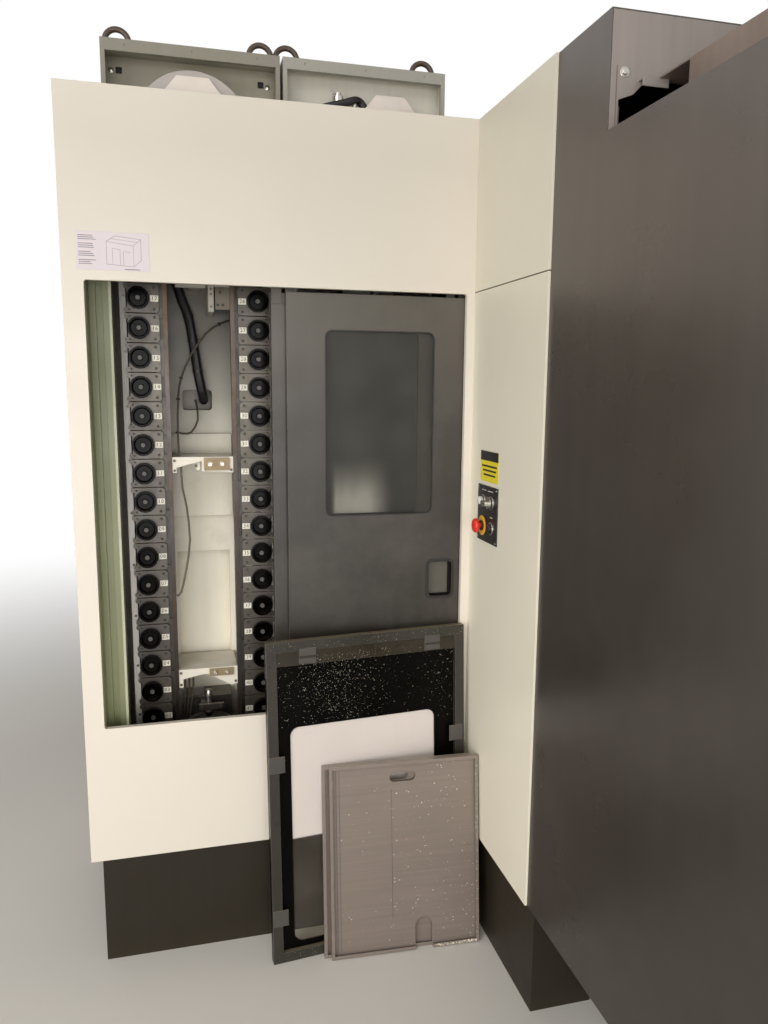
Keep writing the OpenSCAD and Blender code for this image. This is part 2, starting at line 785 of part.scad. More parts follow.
// Recessed finger cup behind the front skin of a door
module finger_cup(x, y) {
    lap = 10;
    wall = 2.5;
    z = door_top - handle_top - handle_h;
    difference() {
        union() {
            upright(y + sheet, 2) translate([x - lap, z - lap])
                round_rect(handle_w + 2 * lap, handle_h + 2 * lap, 18);
            upright(y + sheet, 20) translate([x, z]) round_rect(handle_w, handle_h, 14);
        }
        upright(y, sheet + 20 - wall) translate([x + wall, z + wall])
            round_rect(handle_w - 2 * wall, handle_h - 2 * wall, 12);
    }
}

module magazine_door() {
    color(dark) placed() sliding_door(door_x, door_y, handle_x, door_y + door_t);
}

module door_window() {
    color([0.6, 0.62, 0.62, 0.5]) placed() door_pane(door_x, door_y);
}

module door_handle() {
    color(black) placed() finger_cup(door_x + handle_x, door_y);
}

module rear_door() {
    cup_x = door_w - handle_x - handle_w;
    color(dark) placed() {
        sliding_door(rear_door_x, rear_door_y, cup_x, rear_door_y - 3);
        finger_cup(rear_door_x + cup_x, rear_door_y);
    }
}

module rear_door_window() {
    color([0.6, 0.62, 0.62, 0.5]) placed() door_pane(rear_door_x, rear_door_y);
}

/* Control station */

module at_station(row, col) {
    translate([mag_w - station_t, station_y + col * knob_dy, station_z + row * knob_dz])
        rotate([0, -90, 0]) children();
}

module control_plate() {
    color(black) placed() difference() {
        union() {
            block([mag_w - station_t, station_y - station_w / 2, station_z - station_h / 2],
                [mag_w, station_y + station_w / 2, station_z + station_h / 2]);
            at_station(-1, 1) cylinder(h = 2, r = 28);
            at_station(-1, 1) cylinder(h = 7, r = 14);
            for (p = [[1, 1], [1, -1], [-1, -1]]) at_station(p[0], p[1]) cylinder(h = 5, r = 14.5);
        }
        at_station(-1, 1) translate([0, 0, -2]) cylinder(h = 12, r = 8 + near);
        for (p = [[1, 1], [1, -1], [-1, -1]]) at_station(p[0], p[1])
            translate([0, 0, -2]) cylinder(h = 12, r = 11 + near);
    }
}

module estop_button() {
    color("red") placed() at_station(-1, 1) {
        translate([0, 0, 2.6]) cylinder(h = 14, r = 8);
        translate([0, 0, 15]) rotate_extrude()
            polygon([[0, 0], [15, 0], [18.5, 1], [20, 3], [20, 8], [17, 11.5], [10, 14], [0, 15]]);
    }
}

module lamp_button() {
    color("white") placed() at_station(1, 1) translate([0, 0, 1.6]) rotate_extrude()
        polygon([[0, 0], [11, 0], [11, 10.4], [9.5, 12.9], [5, 14.9], [0, 15.4]]);
}

module selector_knob() {
    color(steel) placed() at_station(1, -1) {
        translate([0, 0, 0.2]) cylinder(h = 7.8, r = 11);
        translate([0, 0, 7.9]) difference() {
            cylinder(h = 18, r1 = 17, r2 = 16);
            for (s = [-1, 1]) translate([s * 13 - 7, -20, 4]) cube([14, 40, 15]);
        }
    }
}

module key_button() {
    color("gray") placed() at_station(-1, -1) translate([0, 0, 1.6]) rotate_extrude()
        polygon([[0, 0], [11, 0], [11, 6.4], [9.5, 7.9], [0, 7.9]]);
}

/* Walls of the main enclosure */

// Shallow pan with its rim turned back to the wall
module pan(z0, z1) {
    difference() {
        block([mag_w, -pale_d, z0], [wall_x, 0, z1]);
        block([mag_w + 2, -pale_d + 2, z0 + 2], [wall_x + 1, -2, z1 - 2]);
    }
}

module side_panels() {
    color(white) placed() {
        pan(split_z + 1.5, mag_h);
        pan(skirt_z, split_z - 1.5);
    }
}

module main_side_wall() {
    color(dark) placed() translate([wall_x, 0, 0]) rotate([90, 0, 90]) linear_extrude(sheet)
        polygon([[-front_y, skirt_z], [rear_y, skirt_z], [rear_y, mag_h], [-step_y, mag_h],
            [-step_y, low_h], [-front_y, low_h]]);
}

duct_in = 98;
duct_w = 330;
duct_h = 101;

// Pale face at the height step, with the cable cut-out beside the roof duct
module step_face() {
    cut = 21;
    ledge = 18;
    color("silver") placed() {
        upright(-step_y, sheet) polygon([[wall_x + sheet, low_h],
            [wall_x + cut, low_h], [wall_x + cut, low_h + 58], [wall_x + 52, low_h + 70],
            [wall_x + 72, low_h + 90], [wall_x + duct_in, low_h + 98], [wall_x + duct_in, low_h + duct_h],
            [wall_x + duct_in + duct_w, low_h + duct_h], [wall_x + duct_in + duct_w, low_h],
            [right_x - sheet, low_h], [right_x - sheet, mag_h - sheet], [wall_x + sheet, mag_h - sheet]]);
        block([wall_x + 62, -step_y - ledge, low_h + duct_h - 6],
            [wall_x + duct_in - 1, -step_y, low_h + duct_h - sheet]);
        block([wall_x + 62, -step_y - ledge, low_h + duct_h - 19],
            [wall_x + duct_in + 20, -step_y - ledge + sheet, low_h + duct_h - sheet]);
    }
}

// Raised duct on the low roof, open at its left side next to the step face
module roof_duct() {
    open_d = 112;
    x = wall_x + duct_in;
    color(dark) placed() difference() {
        block([x, -front_y + 60, low_h], [x + duct_w, -step_y, low_h + duct_h]);
        block([x + sheet, -front_y + 60 + sheet, low_h - 1],
            [x + duct_w - sheet, -step_y + 1, low_h + duct_h - sheet]);
        block([x - 1, -step_y - open_d, low_h - 1], [x + sheet + 1, -step_y + 1, low_h + duct_h - sheet]);
    }
}

module main_front_wall() {
    color(dark) placed() upright(-front_y, sheet) difference() {
        translate([wall_x + sheet, skirt_z]) square([main_w - 2 * sheet, low_h - skirt_z]);
        translate([front_open_x, front_open_z]) round_rect(front_open_w, front_open_h, 30);
    }
}

// Right side, back, both roofs and the floor tray, welded into one shell
module main_enclosure() {
    x = wall_x + sheet;
    color(dark) placed() {
        translate([right_x - sheet, 0, 0]) rotate([90, 0, 90]) linear_extrude(sheet)
            polygon([[-front_y, skirt_z], [rear_y, skirt_z], [rear_y, mag_h], [-step_y, mag_h],
                [-step_y, low_h], [-front_y, low_h]]);
        block([x, rear_y - sheet, skirt_z], [right_x, rear_y, mag_h]);
        block([x, -step_y, mag_h - sheet], [right_x, rear_y, mag_h]);
        block([x, -front_y + sheet, low_h - sheet], [right_x, -step_y + sheet, low_h]);
        block([x, -front_y + sheet, skirt_z], [right_x, rear_y, skirt_z + sheet]);
    }
}

front_door_w = front_open_w + 2 * front_door_lap;
front_door_h = front_open_h + 2 * front_door_lap;
front_win = [230, 420, 430, 560];

module front_door() {
    t = 30;
    x = front_open_x - front_door_lap;
    z = front_open_z - front_door_lap;
    color(white) placed() {
        difference() {
            block([x, front_door_y, z], [x + front_door_w, front_door_y + t, z + front_door_h]);
            block([x + sheet, front_door_y + sheet, z + sheet],
                [x + front_door_w - sheet, front_door_y + t + 1, z + front_door_h - sheet]);
            upright(front_door_y - 1, sheet + 2) translate([x + front_win[0], z + front_win[1]])
                round_rect(front_win[2], front_win[3], 24);
        }
        for (dz = [470, 830]) bar_y(x + 90, z + dz, front_door_y - 34, 35, 8);
        translate([x + 90, front_door_y - 34, z + 440]) cylinder(h = 420, r = 11);
    }
}

module front_door_window() {
    lap = 14;
    color([0.5, 0.55, 0.55, 0.5]) placed() upright(front_door_y + sheet, 8)
        translate([front_open_x - front_door_lap + front_win[0] - lap,
            front_open_z - front_door_lap + front_win[1] - lap])
        round_rect(front_win[2] + 2 * lap, front_win[3] + 2 * lap, 28);
}

module operator_console() {
    x = front_open_x + front_open_w + 130;
    z = 1080;
    color(dark) placed() difference() {
        union() {
            translate([x, 0, 0]) rotate([90, 0, 90]) linear_extrude(430)
                polygon([[-front_y, z - 60], [-front_y, z + 620], [-front_y - 90, z + 620],
                    [-front_y - 90, z + 190], [-front_y - console_out, z + 130],
                    [-front_y - console_out, z + 20], [-front_y - 60, z - 60]]);
            translate([x + 70, -front_y - 89, z + 215]) rotate([90, 0, 0]) cylinder(h = 22, r = 18);
        }
        block([x + 40, -front_y - 91, z + 260], [x + 390, -front_y - 84, z + 580]);
    }
}

/* Machine inside the enclosure */

// T shaped bed on a wide base, with rounded way covers and four linear rails
module machine_bed() {
    base_x = wall_x + bed_in;
    base_r = right_x - bed_in;
    color("darkolivegreen") placed() {
        block([base_x, -front_y + 250, 40], [base_r, rear_y - 120, skirt_z]);
        for (x = [base_x + 90, mid_x, base_r - 90], y = [-front_y + 340, -300, rear_y - 220])
            translate([x, y, 0]) cylinder(h = 41, r1 = 70, r2 = 46);
        block([mid_x - 700, column_y - 40, skirt_z + sheet], [mid_x + 700, column_y + column_d + 40, way_z]);
        block([mid_x - 260, table_y - 560, skirt_z + sheet], [mid_x + 260, column_y - 40, way_z]);
        for (y = [column_y + 90, column_y + column_d - 90])
            block([mid_x - 680, y - 20, way_z], [mid_x + 680, y + 20, way_z + rail_h]);
        for (x = [mid_x - 180, mid_x + 180])
            block([x - 20, table_y - 540, way_z], [x + 20, column_y - 60, way_z + rail_h]);
    }
}

// Travelling column: two tapered uprights joined by a foot and a head beam
module column() {
    w = column_w;
    color("darkolivegreen") placed() {
        translate([mid_x, column_y + column_d, column_z]) rotate([90, 0, 0])
            linear_extrude(column_d - 30) difference() {
                polygon([[-w / 2, 0], [w / 2, 0], [w / 2 - 40, column_h], [40 - w / 2, column_h]]);
                polygon([[-90, 180], [90, 180], [90, column_h - 160], [-90, column_h - 160]]);
            }
        for (s = [-1, 1]) block([mid_x + s * 180 - 20, column_y, column_z + 120],
            [mid_x + s * 180 + 20, column_y + 30, column_z + column_h - 60]);
    }
}

module spindle_head() {
    z = spindle_z;
    color(cream) placed() difference() {
        union() {
            block([mid_x - head_w / 2, head_y, z - head_h / 2],
                [mid_x + head_w / 2, column_y - near, z + head_h / 2]);
            bar_y(mid_x, z, quill_y, head_y - quill_y, quill_r);
        }
        bar_y(mid_x, z, quill_y - 1, 261, nose_r + shaft_clear);
    }
}

module spindle() {
    taper = 35;
    color(steel) placed() translate([mid_x, nose_y, spindle_z]) rotate([-90, 0, 0]) difference() {
        cylinder(h = quill_y + 250 - nose_y, r = nose_r);
        translate([0, 0, -1]) cylinder(h = 102, r1 = taper, r2 = 20);
        for (s = [-1, 1]) translate([s * 50 - 8, -12, -1]) cube([16, 24, 11]);
    }
}

module saddle() {
    z = column_z;
    color(cream) placed() {
        block([mid_x - 280, table_y - 280, z + near], [mid_x + 280, table_y + 280, z + saddle_h]);
        translate([mid_x, table_y, z + saddle_h]) cylinder(h = 30, r = turn_r + 20);
    }
}

module pallet_table() {
    z = column_z + saddle_h + 30 + near;
    slot_w = 18;
    color(steel) placed() translate([mid_x, table_y, 0]) difference() {
        union() {
            translate([0, 0, z]) cylinder(h = pallet_z - z, r = turn_r);
            translate([-pallet / 2, -pallet / 2, pallet_z]) cube([pallet, pallet, pallet_h]);
        }
        for (s = [-2 : 2]) translate([s * 90 - slot_w / 2, -pallet / 2 - 1, pallet_z + pallet_h - 22])
            cube([slot_w, pallet + 2, 23]);
    }
}

/* Removed covers that lean against the cabinet */

// Front edge of the framed cover at the floor, so that its upper right corner meets the cabinet
frame_reach = frame_t * cos(frame_tilt) + frame_h * sin(frame_tilt);
frame_x = open_right + 1 - frame_w * cos(frame_turn) + frame_reach * sin(frame_turn);
frame_y = -near - frame_w * sin(frame_turn) - frame_reach * cos(frame_turn);
frame_lift = frame_t * sin(frame_tilt);

module at_frame() {
    translate([frame_x, frame_y, frame_lift]) rotate([0, 0, frame_turn])
        rotate([-frame_tilt, 0, 0]) children();
}

// Y of a plane that lies a depth d behind the front of the framed cover
function frame_face(x, z, d) = frame_y + (x - frame_x) * tan(frame_turn)
    + ((z - frame_lift) * tan(frame_tilt) + d / cos(frame_tilt)) / cos(frame_turn);

pane_y = 15;
pane_x = 64;
pane_z = 48;
pane_w = 430;
pane_h = 622;

module cover_frame() {
    rim = 28;
    face = 12;
    clip = [46, 16];
    color(dark) placed() at_frame() {
        difference() {
            block([0, 0, 0], [frame_w, frame_t, frame_h]);
            block([rim, -1, rim], [frame_w - rim, face, frame_h - rim]);
            block([rim, face + 3, rim], [frame_w - rim, frame_t + 1, frame_h - rim]);
            upright(face - 1, 5) translate([pane_x, pane_z]) round_rect(pane_w, pane_h, 25);
        }
        block([rim, 4, frame_h - rim - 40], [frame_w - rim, face, frame_h - rim]);
        for (x = [92, 462]) {
            block([x, -2, frame_h - rim - 36], [x + clip[0], 4, frame_h - rim - 22]);
            block([x, -2, frame_h - rim - 14], [x + clip[0], 4, frame_h - rim + 6]);
            block([x, 1, frame_h - rim - 36], [x + clip[0], 4, frame_h - rim + 6]);
        }
        for (p = [[2, 552], [2, 110], [frame_w - 48, 571]])
            block([p[0], -3, p[1]], [p[0] + 42, 0, p[1] + 46]);
    }
}

module cover_window() {
    lap = 12;
    color([0.8, 0.82, 0.82, 0.3]) placed() at_frame() upright(pane_y, 4)
        translate([pane_x - lap, pane_z - lap]) round_rect(pane_w + 2 * lap, pane_h + 2 * lap, 27);
}

pan_x = 641;
pan_back = 2 * pan_rim + 0.4;
pan_lift = pan_back * sin(pan_tilt);
pan_reach = pan_back * cos(pan_tilt) + pan_h * sin(pan_tilt);
pan_top = pan_lift + pan_h * cos(pan_tilt) - pan_back * sin(pan_tilt);
pan_corner = pan_x - 19 * cos(pan_turn) - pan_reach * sin(pan_turn);
pan_y = frame_face(pan_corner, pan_top, pane_y) - near - pan_reach * cos(pan_turn) + 19 * sin(pan_turn);

// Sheet cover with a turned rim, a grip slot at the top and an arched notch at the bottom
module sheet_pan(notched) {
    t = 2;
    difference() {
        block([0, 0, 0], [pan_w, pan_rim, pan_h]);
        block([9, -1, 9], [pan_w - 9, pan_rim - t, pan_h - 9]);
        block([t, t, t], [pan_w - t, pan_rim - t, pan_h - t]);
        upright(-1, pan_rim + 2) translate([173, pan_h - 60]) round_rect(76, 26, 12.9);
        if (notched) upright(-1, pan_rim + 2) {
            translate([244, -1]) square([50, 64]);
            translate([269, 63]) circle(25);
        }
    }
}

module sheet_covers() {
    color("silver") placed() translate([pan_x, pan_y, pan_lift]) rotate([0, 0, pan_turn])
        rotate([-pan_tilt, 0, 0]) {
            sheet_pan(true);
            translate([-19, pan_rim + 0.4, 0]) sheet_pan(false);
        }
}

magazine_front_panel();
magazine_cabinet();
plinths();
left_liner();
top_cover_left();
top_cover_right();
lifting_eyes();
drive_covers();
air_cylinder();
air_hose();
frame_side_plates();
guide_rails();
back_panels();
cross_brackets();
switch_blocks();
bearing_housings();
main_cable();
sensor_cables();
door_tracks();
chain_rising();
pots_rising();
chain_falling();
pots_falling();
top_wheel_left();
top_pots_left();
bottom_sprocket_left();
bottom_chain_left();
bottom_pots_left();
top_wheel_right();
top_pots_right();
bottom_wheel_right();
bottom_pots_right();
magazine_door();
door_window();
door_handle();
rear_door();
rear_door_window();
control_plate();
estop_button();
lamp_button();
selector_knob();
key_button();
side_panels();
main_side_wall();
step_face();
roof_duct();
main_front_wall();
main_enclosure();
front_door();
front_door_window();
machine_bed();
column();
spindle_head();
spindle();
saddle();
pallet_table();
cover_frame();
cover_window();
sheet_covers();
operator_console();
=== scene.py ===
"""Looks of the machining centre: finishes, fasteners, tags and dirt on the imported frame."""
import math
import random

import bpy
from mathutils import Matrix, Vector


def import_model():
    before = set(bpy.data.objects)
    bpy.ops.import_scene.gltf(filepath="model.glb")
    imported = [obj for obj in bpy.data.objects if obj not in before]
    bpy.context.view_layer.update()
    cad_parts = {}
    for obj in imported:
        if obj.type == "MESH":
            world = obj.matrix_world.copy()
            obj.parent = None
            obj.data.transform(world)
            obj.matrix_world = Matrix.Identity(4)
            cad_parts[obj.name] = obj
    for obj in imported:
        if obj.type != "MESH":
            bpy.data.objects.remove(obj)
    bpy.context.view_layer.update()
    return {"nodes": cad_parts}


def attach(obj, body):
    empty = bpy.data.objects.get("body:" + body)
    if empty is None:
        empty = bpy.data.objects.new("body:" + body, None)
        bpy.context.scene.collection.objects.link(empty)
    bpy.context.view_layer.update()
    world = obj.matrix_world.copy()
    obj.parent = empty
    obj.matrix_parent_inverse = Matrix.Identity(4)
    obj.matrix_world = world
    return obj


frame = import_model()
nodes = frame["nodes"]
scene = bpy.context.scene

# Sizes in millimetres, from the front left lower corner of the magazine cabinet
ORIGIN = Vector((1540.0, -360.0, 0.0))


def world(point):
    """A point in cabinet millimetres as metres in the shared frame."""
    return (Vector(point) - ORIGIN) / 1000.0


# Camera

YAW, PITCH, ROLL = (math.radians(a) for a in (14.57, 8.77, 0.45))
CAMERA_AT = (256.5, -2173.4, 1597.3)
LENS, SENSOR = 28.36, 36.0

right0 = Vector((math.cos(YAW), -math.sin(YAW), 0))
level = Vector((math.sin(YAW), math.cos(YAW), 0))
ahead = level * math.cos(PITCH) - Vector((0, 0, 1)) * math.sin(PITCH)
up0 = level * math.sin(PITCH) + Vector((0, 0, 1)) * math.cos(PITCH)
cam_x = right0 * math.cos(ROLL) + up0 * math.sin(ROLL)
cam_y = up0 * math.cos(ROLL) - right0 * math.sin(ROLL)
camera_data = bpy.data.cameras.new("camera")
camera_data.sensor_width = SENSOR
camera_data.lens = LENS
camera_data.clip_start = 0.05
camera = bpy.data.objects.new("camera", camera_data)
scene.collection.objects.link(camera)
camera.matrix_world = Matrix.Translation(world(CAMERA_AT)) @ Matrix(
    (cam_x, cam_y, -ahead)
).transposed().to_4x4()
scene.camera = camera


# Shader building

EDGE_START, EDGE_FULL = 0.02, 0.25  # bend of the rounded normal where edge wear and painted edge highlight start and are full
RAMP_TOP = 2.6  # height in metres at the end of a brightness ramp
RAMP_MAX = 2.0  # largest factor that a ramp can hold
BUMP_DEPTH = 0.0004


def linear(rgb):
    """Display values 0 to 255 as linear colour."""
    out = []
    for c in rgb:
        c /= 255.0
        out.append(c / 12.92 if c <= 0.04045 else ((c + 0.055) / 1.055) ** 2.4)
    return (*out, 1.0)


class Graph:
    """Nodes of a material or of the world, with short calls for the ones used here."""

    def __init__(self, name, owner=None):
        self.owner = owner or bpy.data.materials.new(name)
        self.owner.use_nodes = True
        self.tree = self.owner.node_tree
        self.tree.nodes.clear()
        self.coord = self.node("ShaderNodeTexCoord").outputs["Object"]
        self.xyz = None

    def node(self, kind, **values):
        n = self.tree.nodes.new(kind)
        for key, value in values.items():
            setattr(n, key, value)
        return n

    def put(self, socket, value):
        if isinstance(value, bpy.types.NodeSocket):
            self.tree.links.new(value, socket)
        else:
            socket.default_value = value

    def axis(self, k):
        """One object coordinate, in metres of the shared frame."""
        if self.xyz is None:
            self.xyz = self.node("ShaderNodeSeparateXYZ")
            self.put(self.xyz.inputs[0], self.coord)
        return self.xyz.outputs[k]

    def stretched(self, scale):
        """Object coordinates scaled per axis, for noise drawn out into streaks."""
        n = self.node("ShaderNodeMapping")
        self.put(n.inputs["Vector"], self.coord)
        n.inputs["Scale"].default_value = scale
        return n.outputs[0]

    def noise(self, scale, detail=4.0, rough=0.55, vector=None):
        n = self.node("ShaderNodeTexNoise")
        self.put(n.inputs["Vector"], vector or self.coord)
        n.inputs["Scale"].default_value = scale
        n.inputs["Detail"].default_value = detail
        n.inputs["Roughness"].default_value = rough
        return n.outputs["Fac"]

    def remap(self, value, a, b, c=0.0, d=1.0, smooth=False):
        n = self.node("ShaderNodeMapRange")
        if smooth:
            n.interpolation_type = "SMOOTHSTEP"
        self.put(n.inputs["Value"], value)
        for key, x in zip(("From Min", "From Max", "To Min", "To Max"), (a, b, c, d)):
            n.inputs[key].default_value = x
        return n.outputs[0]

    def math(self, kind, a, b=0.0):
        n = self.node("ShaderNodeMath", operation=kind)
        self.put(n.inputs[0], a)
        self.put(n.inputs[1], b)
        return n.outputs[0]

    def mix(self, fac, a, b):
        n = self.node("ShaderNodeMix", data_type="RGBA")
        self.put(n.inputs["Factor"], fac)
        self.put(n.inputs[6], a)
        self.put(n.inputs[7], b)
        return n.outputs[2]

    def scaled(self, colour, factor):
        n = self.node("ShaderNodeVectorMath", operation="SCALE")
        self.put(n.inputs[0], colour[:3] if isinstance(colour, tuple) else colour)
        self.put(n.inputs["Scale"], factor)
        return n.outputs[0]

    def specks(self, scale, size, share):
        """Mask of scattered round specks: cells a share of which carry one."""
        n = self.node("ShaderNodeTexVoronoi")
        self.put(n.inputs["Vector"], self.coord)
        n.inputs["Scale"].default_value = scale
        near = self.remap(n.outputs["Distance"], size, size * 0.6)
        pick = self.node("ShaderNodeSeparateColor")
        self.put(pick.inputs[0], n.outputs["Color"])
        return self.math("MULTIPLY", near, self.math("LESS_THAN", pick.outputs[0], share))

    def edges(self, radius):
        """Rounded normal, and a mask that is 1 on edges."""
        bevel = self.node("ShaderNodeBevel", samples=3)
        bevel.inputs["Radius"].default_value = radius
        geo = self.node("ShaderNodeNewGeometry")
        dot = self.node("ShaderNodeVectorMath", operation="DOT_PRODUCT")
        self.put(dot.inputs[0], bevel.outputs[0])
        self.put(dot.inputs[1], geo.outputs["Normal"])
        off = self.math("SUBTRACT", 1.0, dot.outputs["Value"])
        return bevel.outputs[0], self.remap(off, EDGE_START, EDGE_FULL)

    def upward(self):
        """Mask of the faces that look up, where dust lies."""
        geo = self.node("ShaderNodeNewGeometry")
        sep = self.node("ShaderNodeSeparateXYZ")
        self.put(sep.inputs[0], geo.outputs["Normal"])
        return self.remap(sep.outputs[2], 0.55, 0.95)

    def surface(self, colour, rough, metal=0.0, normal=None, coat=0.0, spec=0.5, bump=None):
        p = self.node("ShaderNodeBsdfPrincipled")
        self.put(p.inputs["Base Color"], colour)
        self.put(p.inputs["Roughness"], rough)
        p.inputs["Metallic"].default_value = metal
        p.inputs["Coat Weight"].default_value = coat
        p.inputs["Coat Roughness"].default_value = 0.15
        self.put(p.inputs["Specular IOR Level"], spec)
        if bump is not None:
            height, strength, distance = bump
            b = self.node("ShaderNodeBump")
            b.inputs["Strength"].default_value = strength
            b.inputs["Distance"].default_value = distance
            self.put(b.inputs["Height"], height)
            if normal is not None:
                self.put(b.inputs["Normal"], normal)
            normal = b.outputs[0]
        if normal is not None:
            self.put(p.inputs["Normal"], normal)
        return p.outputs[0]

    def blend(self, fac, a, b):
        """Shader a where fac is 0 and b where it is 1."""
        n = self.node("ShaderNodeMixShader")
        for socket, value in zip(n.inputs, (fac, a, b)):
            self.put(socket, value)
        return n.outputs[0]

    def seen(self):
        """1 for rays of the camera, of reflections and through clear panes."""
        ray = self.node("ShaderNodeLightPath").outputs
        two = self.math("MAXIMUM", ray["Is Camera Ray"], ray["Is Glossy Ray"])
        return self.math("MAXIMUM", two, ray["Is Transmission Ray"])

    def done(self, shader, kind="ShaderNodeOutputMaterial"):
        self.put(self.node(kind).inputs["Surface"], shader)
        return self.owner


def finish_of(
    name, rgb, rough=0.45, metal=0.0, mottle=0.05, grain=2.2, streak=0.0,
    streak_scale=(46, 46, 1.6), speck=None, dust=0.0, dust_rgb=(168, 158, 142), edge=0.25,
    edge_rgb=None, radius=0.0012, rise=None, bump=0.12, bump_scale=700.0, coat=0.0, spec=0.5,
    stain=None, grime_and_shade=None, front=None
):
    """A used finish with dirt, wear and painted light and shade, in linear steps from its base
    colour.

    mottle, streak: share by which clouds and vertical runs change the brightness
    rise: (height in m, factor) pairs, lowest first, scaling brightness by height, mostly painted
    light and shade; front: (y in m, factor in front of it)
    stain: colour, scale, noise range, amount; grime: colour and amount of dirt and painted shade
    in corners
    speck: rows of scale, size, share, colour; dust: amount on top faces; edge: rubbed edges and
    painted edge highlights
    """
    g = Graph(name)
    cloud = g.noise(grain, 5.0, 0.6)
    factor = g.remap(cloud, 0.25, 0.75, 1.0 - mottle, 1.0 + mottle)
    if streak:
        runs = g.noise(1.0, 5.0, 0.65, g.stretched(streak_scale))
        factor = g.math("MULTIPLY", factor, g.remap(runs, 0.3, 0.7, 1.0 - streak, 1.0 + streak))
    # Brightness scaled by height, mostly painted light and shade
    if rise:
        ramp = g.node("ShaderNodeValToRGB")
        g.put(ramp.inputs[0], g.math("DIVIDE", g.axis(2), RAMP_TOP))
        stops = ramp.color_ramp.elements
        while len(stops) < len(rise):
            stops.new(0.5)
        for stop, (z, k) in zip(stops, rise):
            stop.position = z / RAMP_TOP
            stop.color = (*[k / RAMP_MAX] * 3, 1)
        factor = g.math("MULTIPLY", factor, g.math("MULTIPLY", ramp.outputs[0], RAMP_MAX))
    if front:
        limit, share = front
        factor = g.math("MULTIPLY", factor, g.remap(g.axis(1), limit - 0.001, limit, share, 1.0))
    colour = g.scaled(linear(rgb), factor)
    if stain:
        stain_rgb, scale, low, high, amount = stain
        patch = g.remap(g.noise(scale, 6.0, 0.65), low, high, 0.0, amount)
        colour = g.mix(patch, colour, linear(stain_rgb))
    # Corners and recesses found by occlusion are darkened: dirt and painted shade
    if grime_and_shade:
        grime_shade_rgb, amount = grime_and_shade
        ao = g.node("ShaderNodeAmbientOcclusion", samples=4)
        ao.inputs["Distance"].default_value = 0.035
        corner = g.math(
            "MULTIPLY", g.remap(ao.outputs["AO"], 0.85, 0.35, 0.0, amount),
            g.remap(cloud, 0.3, 0.6, 0.5, 1.0)
        )
        colour = g.mix(corner, colour, linear(grime_shade_rgb))
    if speck:
        for scale, size, share, speck_rgb in speck:
            colour = g.mix(g.specks(scale, size, share), colour, linear(speck_rgb))
    normal, mask = g.edges(radius)
    # Lighter edges: rubbed wear, and painted highlights along the edges
    if edge:
        edge_wear_and_highlight = g.math("MULTIPLY", mask, g.remap(g.noise(38.0, 4.0, 0.7), 0.38, 0.66, 0.0, edge))
        colour = g.mix(edge_wear_and_highlight, colour, linear(edge_rgb or [min(255, c * 1.35 + 22) for c in rgb]))
    if dust:
        layer = g.math(
            "MULTIPLY", g.upward(), g.remap(g.noise(14.0, 6.0, 0.7), 0.3, 0.7, dust * 0.35, dust)
        )
        colour = g.mix(layer, colour, linear(dust_rgb))
    gloss = g.remap(g.noise(grain * 2.6, 4.0, 0.6), 0.3, 0.7, rough - 0.07, rough + 0.08)
    height = g.noise(bump_scale, 2.0, 0.5)
    return g.done(g.surface(colour, gloss, metal, normal, coat, spec, (height, bump, BUMP_DEPTH)))


M = {}
FLANGE = (0.5575, 0.5)  # the roof covers' front edges are darker
# WALL_RISE and DOOR_RISE paint light by height: the dark wall and the doors lighter towards the
# top, a painted reflection
WALL_RISE = ((0.0, 0.68), (0.7, 0.72), (1.2, 0.92), (1.6, 1.25), (2.0, 2.0))
DOOR_RISE = ((0.0, 0.68), (0.9, 0.72), (1.25, 0.86), (1.5, 0.96), (1.7, 1.9), (1.85, 2.0))
# The rise ramps of the cream and pale side panels paint light low down and shade towards the top
M["cream"] = finish_of(
    "cream_panel", (224, 216, 202), 0.36, mottle=0.02, speck=((95, 0.06, 0.05, (150, 138, 118)),),
    dust=0.3, edge=0.35, edge_rgb=(240, 236, 226), spec=0.45, bump=0.06,
    rise=((0.3, 1.02), (0.9, 1.0), (1.7, 0.91), (2.0, 0.83), (2.2, 0.79), (2.32, 0.83))
)
M["pale_side"] = finish_of(
    "pale_side_panel", (218, 212, 194), 0.38, mottle=0.022,
    speck=((80, 0.05, 0.04, (140, 128, 108)),), edge=0.5, edge_rgb=(250, 247, 238), bump=0.06,
    rise=((0.3, 1.2), (1.2, 1.12), (2.0, 0.91), (2.32, 0.86))
)
# The rise ramp paints light low in the opening and deep shade towards its top
M["inner_cream"] = finish_of(
    "inner_cream", (222, 216, 198), 0.45, grain=3.5, streak=0.03,
    stain=((138, 128, 98), 5.0, 0.54, 0.8, 0.35), grime_and_shade=((86, 80, 60), 0.55),
    speck=((130, 0.09, 0.06, (70, 60, 44)),), dust=0.4, edge=0.35,
    rise=((0.75, 1.6), (1.15, 1.24), (1.42, 0.92), (1.56, 0.42), (1.82, 0.09), (2.0, 0.07))
)
# The rise ramp paints light low down and the shadow cast on the strip from the top
M["frame_strip"] = finish_of(
    "frame_strip", (226, 222, 214), 0.45, mottle=0.06, grain=3.5, streak=0.06,
    grime_and_shade=((86, 80, 60), 0.5), speck=((110, 0.09, 0.08, (60, 52, 40)),), edge=0.4,
    rise=((0.6, 1.15), (1.2, 1.0), (1.5, 0.72), (1.82, 0.5))
)
# The rise ramp paints shade towards the top of the opening
M["bracket"] = finish_of(
    "bracket_cream", (226, 220, 204), 0.42, grain=5.0,
    speck=((160, 0.1, 0.08, (80, 66, 46)),), stain=((120, 100, 70), 9.0, 0.58, 0.8, 0.5),
    grime_and_shade=((70, 60, 44), 0.5), edge=0.5, dust=0.4,
    rise=((0.7, 1.06), (1.4, 1.0), (1.7, 0.62), (1.9, 0.42))
)
